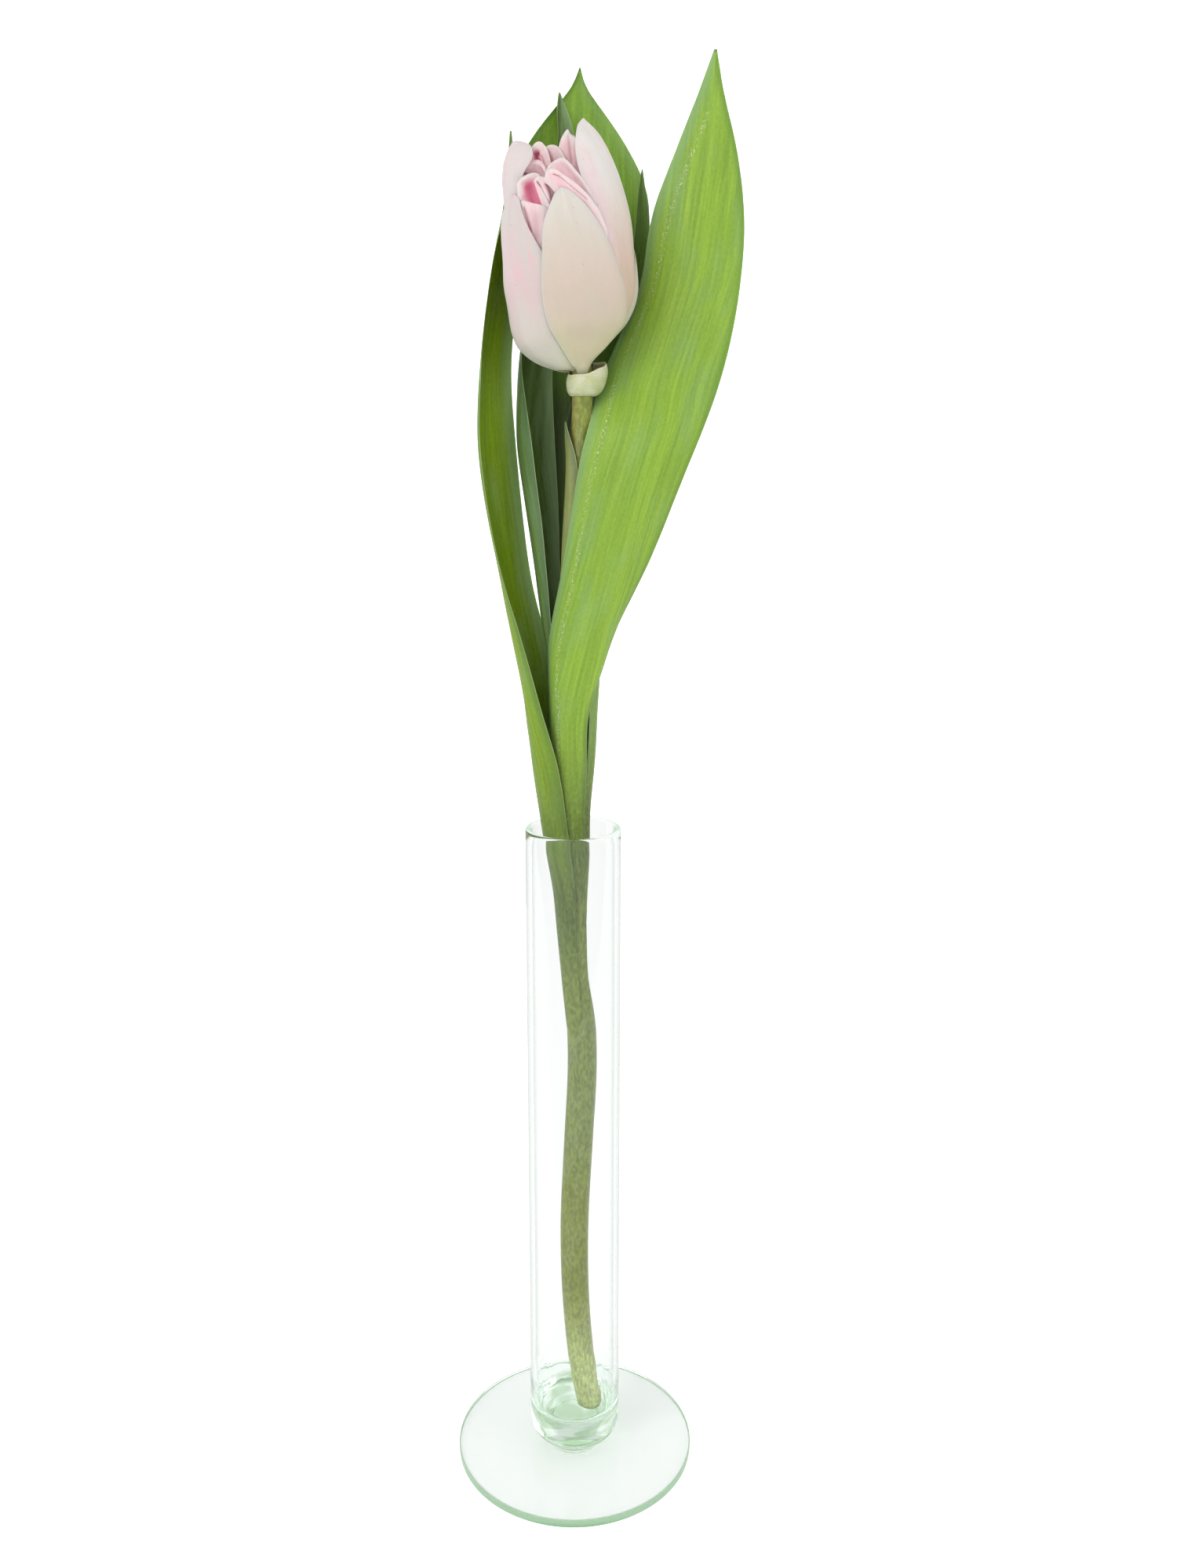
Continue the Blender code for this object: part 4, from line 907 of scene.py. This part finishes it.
def stem_material(name, end, low, middle, wrapped, high):
    """Fresh stem: pale at its cut end, fine ribs along it, and a pinkish-grey bloom.

    The five colours are those of its stretches, from the cut end up.
    """
    n = Nodes(name)
    along, turn = n.fields("along", "turn")
    fine = n.grain(turn, 8.0, along, 0.05)
    patch = n.grain(turn, 1.0, along, 0.08, 2.0)
    tone = n.layered(
        end, (low, along, 4.0, 50.0), (middle, along, 75.0, 105.0), (wrapped, along, 135.0, 165.0),
        (high, along, 190.0, 225.0), ((0.33, 0.34, 0.17), patch, 0.4, 0.7, 0.35))
    side = n.span(n.calc("COSINE", n.calc("ADD", turn, 1.35)), 0.95, 0.55, 0.0, 0.6)
    side = n.product(side, n.span(along, 170.0, 230.0, 0.15, 1.0))
    tone = n.mix(side, tone, (0.27, 0.23, 0.07))
    tone = n.layered(tone, ((0.14, 0.20, 0.04), fine, 0.4, 0.7, 0.30))
    n.set(Base_Color=n.mottled(tone), Roughness=0.42, Normal=n.bump(fine, 0.2, 0.0003))
    n.soft_inside(0.2, (0.6, 0.8, 0.3), 0.002)
    return n.material


def bract_material(name):
    """Thin cream-green bract with fine level lines and a pale dry margin."""
    n = Nodes(name)
    across, along, edge, inner = n.fields("across", "along", "edge", "inner")
    level = n.grain(across, 0.07, along, 2.4)
    patch = n.grain(across, 0.3, along, 0.3, 3.0, 2.0)
    tone = n.layered(
        (0.50, 0.53, 0.28), ((0.60, 0.61, 0.43), patch, 0.35, 0.65),
        ((0.33, 0.39, 0.14), level, 0.48, 0.72, 0.40), ((0.40, 0.34, 0.22), inner, 0.4, 0.6, 0.75),
        ((0.74, 0.72, 0.50), edge, 0.9, 0.2, 0.8))
    rough = n.span(level, 0.3, 0.7, 0.30, 0.42)
    n.set(Base_Color=tone, Roughness=rough, Normal=n.bump(level, 0.15, 0.0002))
    n.soft_inside(0.3, (1.0, 0.9, 0.4), 0.001)
    return n.material


def grained_material(name, fineness, dark, light, roughness):
    """Grains of two colours, stretched up the flower."""
    n = Nodes(name)
    grain = n.in_space(fineness)
    tone = n.layered(dark, (light, grain, 0.35, 0.65))
    n.set(Base_Color=tone, Roughness=roughness, Normal=n.bump(grain, 0.3, 0.0002))
    return n.material


def glass_material(name, taken, density):
    """Clear glass that takes a little red and blue out of the light on a long way through it.

    Its surface has faint swirls low down and the foot's edge is greener. Its bottom has greener
    bands, a painted refraction of darker surroundings, and the walls seen at a slant are painted
    darker grey-green, a painted shade. Light that has bounced about inside for long passes
    straight out.
    """
    n = Nodes(name)
    x, y, z = n.here()
    low = n.product(n.span(z, 0.055, 0.025), n.span(z, 0.006, 0.014))
    relief = n.bump(n.product(n.in_space(130.0, 2.0, 0.45), low), 0.5, 0.0006)
    relief = n.bump(n.in_space(60.0, 1.0, 0.12), 0.10, 0.0005, relief)
    out = n.calc("SQRT", n.calc("ADD", n.product(x, x), n.product(y, y)))
    # Painted shade: walls seen at a slant are tinted darker grey-green.
    grazing = n.add("ShaderNodeLayerWeight")["Facing"]
    tone = n.layered(
        (0.985, 0.990, 0.996), ((0.30, 0.36, 0.31), grazing, 0.55, 0.95),
        ((0.27, 0.41, 0.26), out, 0.0396, 0.0400))
    # Painted refraction: greener noisy bands over the bottom stand for the darker surroundings seen
    # through it.
    bottom = n.product(n.span(z, 0.0200, 0.0160), n.span(z, 0.0032, 0.0050))
    bands = n.span(n.in_space(80.0, 1.0, 4.0), 0.46, 0.56, 0.0, 0.9)
    tone = n.mix(n.product(bottom, bands), tone, (0.40, 0.58, 0.33))
    n.set(Base_Color=tone, Roughness=0.0, IOR=1.5, Transmission_Weight=1.0, Normal=relief)
    n.set(Specular_Tint=(0.42, 0.46, 0.52))
    path = n.add("ShaderNodeLightPath")
    many_turns = n.calc("GREATER_THAN", path["Glossy Depth"], 3.5)
    long_way = n.calc("MAXIMUM", many_turns, n.calc("GREATER_THAN", path["Ray Depth"], 8.5))
    straight = n.calc("MAXIMUM", path["Is Shadow Ray"], long_way)
    clear = n.add("ShaderNodeBsdfTransparent")[0]
    output = n.tree.nodes["Material Output"].inputs
    n.feed(output["Surface"], n.add("ShaderNodeMixShader", straight, n.shader.outputs[0], clear)[0])
    n.feed(output["Volume"], n.add("ShaderNodeVolumeAbsorption", taken, density)[0])
    return n.material


# Settings

def colour_setting(name, description, default):
    """A colour that the panel shows."""
    return FloatVectorProperty(
        name=name, description=description, default=default,
        size=3, min=0.0, max=1.0, subtype="COLOR")


class VaseSettings(bpy.types.PropertyGroup):
    """Sizes and glass of the vase."""

    height: FloatProperty(
        name="Height", description="Height of the rim above the table, in millimetres",
        default=224.0, min=50.0, subtype="NONE")
    tint: colour_setting("Tint", "What is left of each colour by thick glass", (0.30, 0.78, 0.36))
    depth_of_tint: FloatProperty(
        name="Depth of tint", description="How fast thick glass takes up its tint, per metre",
        default=9.0, min=0.0)


class FlowerSettings(bpy.types.PropertyGroup):
    """Thickness and colours of the leaves and petals."""

    leaf_thickness: FloatProperty(
        name="Leaf thickness", description="Thickness of a leaf along its midrib, in millimetres",
        default=0.5, min=0.1)
    petal_thickness: FloatProperty(
        name="Petal thickness", description="Thickness of a petal, in millimetres",
        default=0.55, min=0.1)
    leaf_green: colour_setting("Leaf green", "Colour of a leaf's face", (0.25, 0.42, 0.042))
    petal_cream: colour_setting("Petal cream", "Colour of an outer petal", (0.60, 0.51, 0.42))
    petal_pink: colour_setting("Petal pink", "Colour of an inner petal", (0.76, 0.45, 0.50))


def settings(context):
    """The two groups of settings."""
    return context.scene.tulip_vase, context.scene.tulip_flower


# Operators

def arc_points(centre, radius, start, end, steps):
    """Points on an arc of a profile, from one angle to another, both included."""
    angles = np.radians(np.linspace(start, end, steps + 1))
    arc = np.stack((np.cos(angles), np.sin(angles)), axis=-1)
    return np.asarray(centre) + radius * arc


def line_points(start, end, steps):
    """Points between two, neither included."""
    share = np.linspace(0, 1, steps + 2)[1:-1, None]
    return np.asarray(start) * (1 - share) + np.asarray(end) * share


UNDERSIDE = 0.1                 # the foot's smooth underside lies just above the table
FOOT_RADIUS = 40.3
FOOT_TOP = 3.0
FOOT_ROUND = 0.5                # radius of the foot's two edges
TUBE_RADIUS = 15.0
TUBE_FLOOR = 17.0
RIM_ROUND = 1.0
HEEL = ((9.3, 4.1), (11.0, 5.4), (12.6, 6.7), (13.9, 8.0), (14.7, 9.4), (15.15, 10.9))


class TULIP_OT_vase(bpy.types.Operator):
    """Build the glass: a heavy-bottomed tube melted on to its flat foot"""

    bl_idname = "tulip.vase"
    bl_label = "Vase"

    def execute(self, context):
        vase, _ = settings(context)
        rim_at = vase.height - RIM_ROUND
        rim = arc_points((TUBE_RADIUS - RIM_ROUND, rim_at), RIM_ROUND, 0, 180, 12)
        inside = line_points((TUBE_RADIUS - 2 * RIM_ROUND, rim_at), (13.4, 30), 60)
        cove = arc_points((9.9, TUBE_FLOOR + 3.6), 3.6, 0, -90, 10)
        outside = line_points((15.3, 12.5), (TUBE_RADIUS, rim_at), 60)
        edge_at = FOOT_RADIUS - FOOT_ROUND
        edge_low = arc_points((edge_at, UNDERSIDE + FOOT_ROUND), FOOT_ROUND, -90, 0, 6)
        edge = arc_points((edge_at, FOOT_TOP - FOOT_ROUND), FOOT_ROUND, 0, 90, 6)
        under = [(0, UNDERSIDE), (TUBE_RADIUS, UNDERSIDE), (30, UNDERSIDE)]
        top = [(25, FOOT_TOP), (13, FOOT_TOP), (8.5, FOOT_TOP), (8.4, 3.3)]
        profile = np.concatenate((
            under, edge_low, edge, top, HEEL, outside, rim, inside, cove,
            [(5, TUBE_FLOOR), (0, TUBE_FLOOR)]))
        material = glass_material("vase_glass", tuple(vase.tint), vase.depth_of_tint)
        place(turned("vase_glass", profile, 128), material, "glass", "vase_tube", "vase_foot")
        return {"FINISHED"}


class TULIP_OT_stem(bpy.types.Operator):
    """Build the stem, round rings along a bent line"""

    bl_idname = "tulip.stem"
    bl_label = "Stem"

    def execute(self, context):
        rings = 220
        steps = 48
        heights = np.linspace(STEM_LINE[0][0], STEM_LINE[-1][0], rings)
        x, y, radius = eased(curve_through(STEM_LINE, heights), 3).T[..., None]
        turn = np.linspace(0, 2 * math.pi, steps, endpoint=False)
        reach = radius * (1 + 0.008 * np.cos(9 * turn) + 0.005 * np.cos(23 * turn + 1))
        points = stacked(
            x + reach * np.cos(turn), y + reach * np.sin(turn), heights[:, None])
        fields = {
            "along": np.concatenate((np.repeat(heights - heights[0], steps), [0, 350])),
            "turn": np.concatenate((np.tile(turn, rings), [0, 0])),
        }
        ends = points[0].mean(axis=0), points[-1].mean(axis=0)
        material = stem_material(
            "stem", (0.60, 0.70, 0.30), (0.222, 0.262, 0.028), (0.212, 0.270, 0.068),
            (0.145, 0.190, 0.044), (0.23, 0.27, 0.035))
        place(ring_stack("stem_grown", points, *ends, fields), material, "stem_green", "stem")
        return {"FINISHED"}


# Leaves: stations, slot, wave of the margins, how waxy it is, the two distances from its foot
# between which its face comes out of the painted shade, how much of its foot is sunk in the stem,
# and its face, back, glow and bloom as multiples of the leaf green
# The folded leaf's dark face is partly its own darker green and partly painted shade, where the leaves
# round it shade it.
LEAVES = {
    "leaf_right": (
        RIGHT_LEAF, "leaf_green", 0.5, 0.65, (0, 1), 19.0,
        (0.84, 0.88, 1.0), (0.90, 0.92, 0.95), (1.15, 1.10, 1.1), (0.92, 0.92, 4.2)),
    "leaf_left": (
        LEFT_LEAF, "leaf_green", 0.4, 0.75, (0, 1), 12.0,
        (0.62, 0.62, 0.2), (0.75, 0.75, 0.9), (0.85, 0.80, 0.25), (0.95, 0.85, 3.6)),
    "leaf_folded": (
        FOLDED_LEAF, "leaf_bloom", 0.3, 0.7, (0, 1), 0.0,
        (0.30, 0.32, 0.3), (0.58, 0.58, 2.0), (0.62, 0.60, 1.8), (0.95, 0.85, 4.0)),
    "leaf_small": (
        SMALL_LEAF, "leaf_bloom", 0.3, 0.5, (130, 155), 0.0,
        (0.42, 0.46, 0.6), (0.52, 0.52, 1.4), (0.55, 0.58, 1.2), (0.90, 0.80, 3.6)),
    "leaf_back": (
        BACK_LEAF, "leaf_green", 0.5, 0.4, (160, 190), 0.0,
        (0.80, 0.88, 1.0), (0.55, 0.55, 1.3), (0.98, 1.02, 1.1), (0.95, 0.90, 3.6)),
}
# The torn sleeve's face, back, glow and bloom
STUB_TONES = (0.6, 0.55, 1.3), (0.95, 0.62, 2.4), (0.9, 0.75, 1.0), (1.6, 0.86, 6.0)


class TULIP_OT_leaves(bpy.types.Operator):
    """Build the five leaves and the torn one, arcs carried up their stations"""

    bl_idname = "tulip.leaves"
    bl_label = "Leaves"

    def execute(self, context):
        _, flower = settings(context)
        u = margins_close(41)
        v = np.linspace(0, 1, 200)[:, None]
        for name, (rows, slot, wave, waxy, shade, sunk, *shares) in LEAVES.items():
            middle, along = ribbed(leaf_points(rows, u, v), u, wave, sunk)
            piece = blade(name + "_grown", middle, flower.leaf_thickness, more={"along": along})
            glint_strength = 0.7 if name == "leaf_right" else 0.0
            colours = tinted(flower.leaf_green, *shares)
            place(piece, leaf_material(name, *colours, waxy, shade, glint_strength), slot, name)
        self.build_stub(flower)
        return {"FINISHED"}

    def build_stub(self, flower):
        """The torn sleeve, whose top edge is jagged."""
        u = np.linspace(-1, 1, 121)[None, :]
        v = np.linspace(0, 1, 120)[:, None]
        tooth = np.abs((u * 5.3) % 1 - 0.5) + 0.6 * np.abs((u * 13.7) % 1 - 0.5)
        middle = leaf_points(TORN_STUB, u, v * (1 - 0.022 * tooth))
        piece = blade("torn_leaf_stub_grown", middle, flower.leaf_thickness)
        colours = tinted(flower.leaf_green, *STUB_TONES)
        material = leaf_material("torn_leaf_stub", *colours, 0.6, (0, 1))
        place(piece, material, "leaf_bloom", "torn_leaf_stub")


# Each outer petal's base, low, middle and top colours as multiples of the petal cream, and how
# strongly it blushes
BACK_TONES = (0.84, 1.04, 0.70), (1.00, 1.10, 1.05), (1.00, 1.05, 1.15), (1.10, 1.20, 1.36)
PETAL_TONES = {
    "petal_front": (
        (1.05, 1.16, 0.95), (1.06, 1.10, 0.95), (1.00, 1.00, 1.00), (1.13, 1.27, 1.42), 0.15),
    "petal_right": (
        (0.90, 1.05, 0.70), (0.92, 0.88, 0.76), (1.02, 0.92, 0.88), (1.23, 1.36, 1.60), 0.35),
    "petal_front_left": (
        (0.92, 1.10, 0.90), (1.02, 1.18, 1.20), (1.02, 1.08, 1.22), (1.05, 1.12, 1.32), 0.7),
    "petal_left": (
        (0.92, 1.08, 0.90), (0.98, 1.12, 1.16), (1.00, 1.06, 1.22), (1.11, 1.19, 1.42), 0.4),
    "petal_back_right": (*BACK_TONES, 0.3),
    "petal_back_left": (*BACK_TONES, 0.4),
    "petal_back": (*BACK_TONES, 0.4),
}
# Inner petals: the rim, face and hollow colours as multiples of the petal pink, and thicknesses
# The hollow colour is also the painted shade in the inner petals' hollows.
INNER_TONES = (1.21, 1.56, 1.38), (1.21, 1.24, 1.16), (1.24, 0.62, 0.82)
INNER_THICKNESS = 0.45
INNER_RIM = 0.3
# Where a petal is flushed most: across, along, half width and half height, in millimetres. The
# flush of the others lies below their foot, where it doesn't show.
FLUSHES = {
    "petal_front_left": (-2.0, 40.0, 7.0, 12.0),
    "petal_right": (-10.0, 44.0, 4.0, 20.0),
    "petal_left": (4.0, 46.0, 8.0, 9.0),
}
NO_FLUSH = (0.0, -90.0, 5.0, 10.0)


class TULIP_OT_petals(bpy.types.Operator):
    """Build the outer petals and the crumpled ones inside them"""

    bl_idname = "tulip.petals"
    bl_label = "Petals"

    def execute(self, context):
        _, flower = settings(context)
        self.build_outer(flower)
        self.build_inner(flower)
        return {"FINISHED"}

    def build_outer(self, flower):
        """The seven outer petals.

        Each has a shallow ridge up its middle, a bell of u, margins and a tip that turn in a
        little, and slow waves, a sine of the azimuth and the way up, that start above its base.
        """
        u = margins_close(41)
        v = ends_close(110)[:, None]
        for name, rows in OUTER_PETALS.items():
            way, azimuth, depth = petal_points(rows, u, v)
            ridge = -0.35 * np.exp(-(u / 0.16)**2) * smooth_step(0.08, 0.3, v)
            turned_in = 0.3 * np.abs(u)**8 + 0.4 * smooth_step(0.92, 1.0, v)
            wave = 0.18 * np.sin(azimuth / 7 + way / 5) * smooth_step(8, 20, way)
            middle = bud_points(way, azimuth, depth + ridge + turned_in + wave)
            *shares, flushed = PETAL_TONES[name]
            tones = tinted(flower.petal_cream, *shares)
            spot_at = FLUSHES.get(name, NO_FLUSH)
            material = petal_material(name, *tones, tuple(flower.petal_pink), flushed, spot_at)
            piece = blade(name + "_grown", middle, flower.petal_thickness)
            place(piece, material, "petal_cream", name)

    def build_inner(self, flower):
        """The inner petals, whose crests crumple against each other."""
        tones = tinted(flower.petal_pink, *INNER_TONES)
        finish = crumpled_material("petal_inner", *tones, 0.0)
        streaked = crumpled_material("petal_streaked", *tones, 0.8)
        u = np.linspace(-1, 1, 81)[None, :]
        v = np.concatenate((np.linspace(0, 1, 90), np.linspace(1, 2, 13)[1:]))[:, None]
        shapes = {name: crested_points(petal, u, v) for name, petal in INNER_PETALS.items()}
        for name, petal in CRUMPLED_PETALS.items():
            shapes[name] = crumpled_points(petal, u, v)
        for name, (middle, hollow) in shapes.items():
            piece = blade(name + "_grown", middle, INNER_THICKNESS, INNER_RIM, {"hollow": hollow})
            material = streaked if name == "inner_petal_13" else finish
            place(piece, material, "petal_pink", STANDS_FOR.get(name, name))


BRACT_RINGS = (                 # way up the cup, height, radius, x of the ring's middle
    (0, 353.6, 3.05, 3.1), (1, 353.9, 3.8, 3.3), (2, 354.7, 4.55, 3.6), (3.2, 355.9, 5.1, 3.9),
    (4.6, 357.3, 5.45, 4.2), (6, 358.7, 5.55, 4.4), (7, 359.8, 5.4, 4.5), (7.6, 360.4, 5.15, 4.5),
)
BRACT_TILT = 50.0               # azimuth of the rim's highest point
BRACT_MIDDLE = 256              # azimuth half way round it, opposite the gap of 4 degrees
BRACT_THICKNESS = 0.75
BRACT_RIM = 0.55


class TULIP_OT_bract(bpy.types.Operator):
    """Build the bract, curled into a cup under the bud"""

    bl_idname = "tulip.bract"
    bl_label = "Curled bract"

    def execute(self, context):
        top = BRACT_RINGS[-1][0]
        way = np.linspace(0, top, 48)[:, None]
        azimuth = BRACT_MIDDLE + 178 * np.linspace(-1, 1, 97)[None, :]
        height, radius, middle_x = np.moveaxis(curve_through(BRACT_RINGS, way), -1, 0)
        share = way / top
        radius = radius + 0.25 * np.sin(np.radians(azimuth * 2 + 40)) * share
        x = middle_x + radius * np.cos(np.radians(azimuth))
        y = BUD_BASE[1] + radius * np.sin(np.radians(azimuth))
        tilt = 1.1 + 2.0 * np.cos(np.radians(azimuth - BRACT_TILT))
        wave = 0.15 * np.sin(np.radians(azimuth * 5))
        middle = stacked(x, y, height + (tilt + wave) * share**2)
        piece = blade("curled_bract_grown", middle, BRACT_THICKNESS, BRACT_RIM)
        place(piece, bract_material("curled_bract"), "bract_cream", "curled_bract")
        return {"FINISHED"}


class TULIP_OT_middle(bpy.types.Operator):
    """Finish the pistil and stamens, which keep the part's own shapes"""

    bl_idname = "tulip.middle"
    bl_label = "Pistil and stamens"

    def execute(self, context):
        green = grained_material("pistil", 700.0, (0.36, 0.45, 0.15), (0.52, 0.58, 0.30), 0.5)
        yellow = grained_material("anther", 2400.0, (0.42, 0.28, 0.05), (0.66, 0.52, 0.16), 0.85)
        for name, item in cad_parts.items():
            if name == "pistil":
                item.data.materials[0] = green
            if name.startswith("stamen"):
                item.data.materials[0] = yellow
        return {"FINISHED"}


CAMERA_TILT = 13.904            # degrees below the level
CAMERA_LENS = 31.456            # millimetres, over a sensor of 36
LIT_POINT = (0, 0, 0.3)         # metres


class TULIP_OT_stage(bpy.types.Operator):
    """Set up the floor, the lights and the camera"""

    bl_idname = "tulip.stage"
    bl_label = "Stage"

    def execute(self, context):
        scene = context.scene
        self.build_floor()
        world = bpy.data.worlds.new("studio")
        world.use_nodes = True
        background = world.node_tree.nodes["Background"]
        background.inputs["Color"].default_value = (1, 1, 1, 1)
        background.inputs["Strength"].default_value = 0.55
        scene.world = world
        self.add_light("key", (-0.9, -0.9, 1.2), 7.5)
        self.add_light("fill", (1.1, -0.6, 0.8), 3)
        camera = bpy.data.cameras.new("camera")
        camera.sensor_fit = "AUTO"
        camera.sensor_width = 36.0
        camera.lens = CAMERA_LENS
        camera.clip_start = 0.01
        viewer = linked("camera", camera)
        viewer.location = np.array(VIEWPOINT) * MM
        viewer.rotation_euler = (math.radians(90 - CAMERA_TILT), 0, 0)
        scene.camera = viewer
        scene.view_settings.view_transform = "Standard"
        return {"FINISHED"}

    def build_floor(self):
        """A white floor that curves up all round into a wall, turned round Z."""
        bend_radius = 1500
        wall = 2 * bend_radius
        bend = arc_points((bend_radius, bend_radius), bend_radius, -90, 0, 24)
        profile = np.concatenate((
            [(0, 0), (300, 0), (900, 0)], bend, [(wall, 2500), (wall, 4000)]))
        points = revolved(profile, np.linspace(0, 2 * math.pi, 97))
        number = np.arange(points.size // 3).reshape(points.shape[:2])
        floor = mesh_object("floor", points.reshape(-1, 3), grid_faces(number))
        n = Nodes("floor")
        cloth = n.in_space(3.0, 2.0, 1.0)
        seen = n.add("ShaderNodeLightPath")["Is Camera Ray"]
        n.set(Base_Color=(0.88, 0.88, 0.88), Roughness=n.span(cloth, 0.3, 0.7, 0.85, 0.95))
        n.set(Emission_Color=(1.0, 1.0, 1.0), Emission_Strength=n.span(seen, 0, 1, 0.22, 0.8))
        floor.data.materials.append(n.material)

    def add_light(self, name, place_at, power):
        """A soft square light, 1 m wide, that looks at LIT_POINT."""
        light = bpy.data.lights.new(name, "AREA")
        light.size = 1.0
        light.energy = power
        lamp = linked(name, light)
        lamp.location = place_at
        aim = np.array(LIT_POINT) - np.array(place_at)
        across = math.atan2(aim[1], aim[0])
        down = math.atan2(math.hypot(aim[0], aim[1]), -aim[2])
        lamp.rotation_euler = (down, 0, across - math.pi / 2)


class TULIP_PT_panel(bpy.types.Panel):
    """The settings and the builders"""

    bl_idname = "TULIP_PT_panel"
    bl_label = "Tulip in a bud vase"
    bl_space_type = "VIEW_3D"
    bl_region_type = "UI"
    bl_category = "Tulip"

    def draw(self, context):
        layout = self.layout
        for group in settings(context):
            for key in group.bl_rna.properties.keys():
                if key not in {"rna_type", "name"}:
                    layout.prop(group, key)
        for operator in OPERATORS:
            layout.operator(operator.bl_idname)


OPERATORS = (
    TULIP_OT_stage, TULIP_OT_vase, TULIP_OT_stem, TULIP_OT_leaves,
    TULIP_OT_bract, TULIP_OT_petals, TULIP_OT_middle,
)
CLASSES = (VaseSettings, FlowerSettings, *OPERATORS, TULIP_PT_panel)


def register():
    """Register the classes and hang the settings on the scene."""
    for item in CLASSES:
        bpy.utils.register_class(item)
    bpy.types.Scene.tulip_vase = PointerProperty(type=VaseSettings)
    bpy.types.Scene.tulip_flower = PointerProperty(type=FlowerSettings)


def unregister():
    """Take the settings and the classes away."""
    del bpy.types.Scene.tulip_flower
    del bpy.types.Scene.tulip_vase
    for item in reversed(CLASSES):
        bpy.utils.unregister_class(item)


def main():
    """Register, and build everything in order."""
    register()
    for operator in OPERATORS:
        group, name = operator.bl_idname.split(".")
        getattr(getattr(bpy.ops, group), name)()


if __name__ == "__main__":
    main()
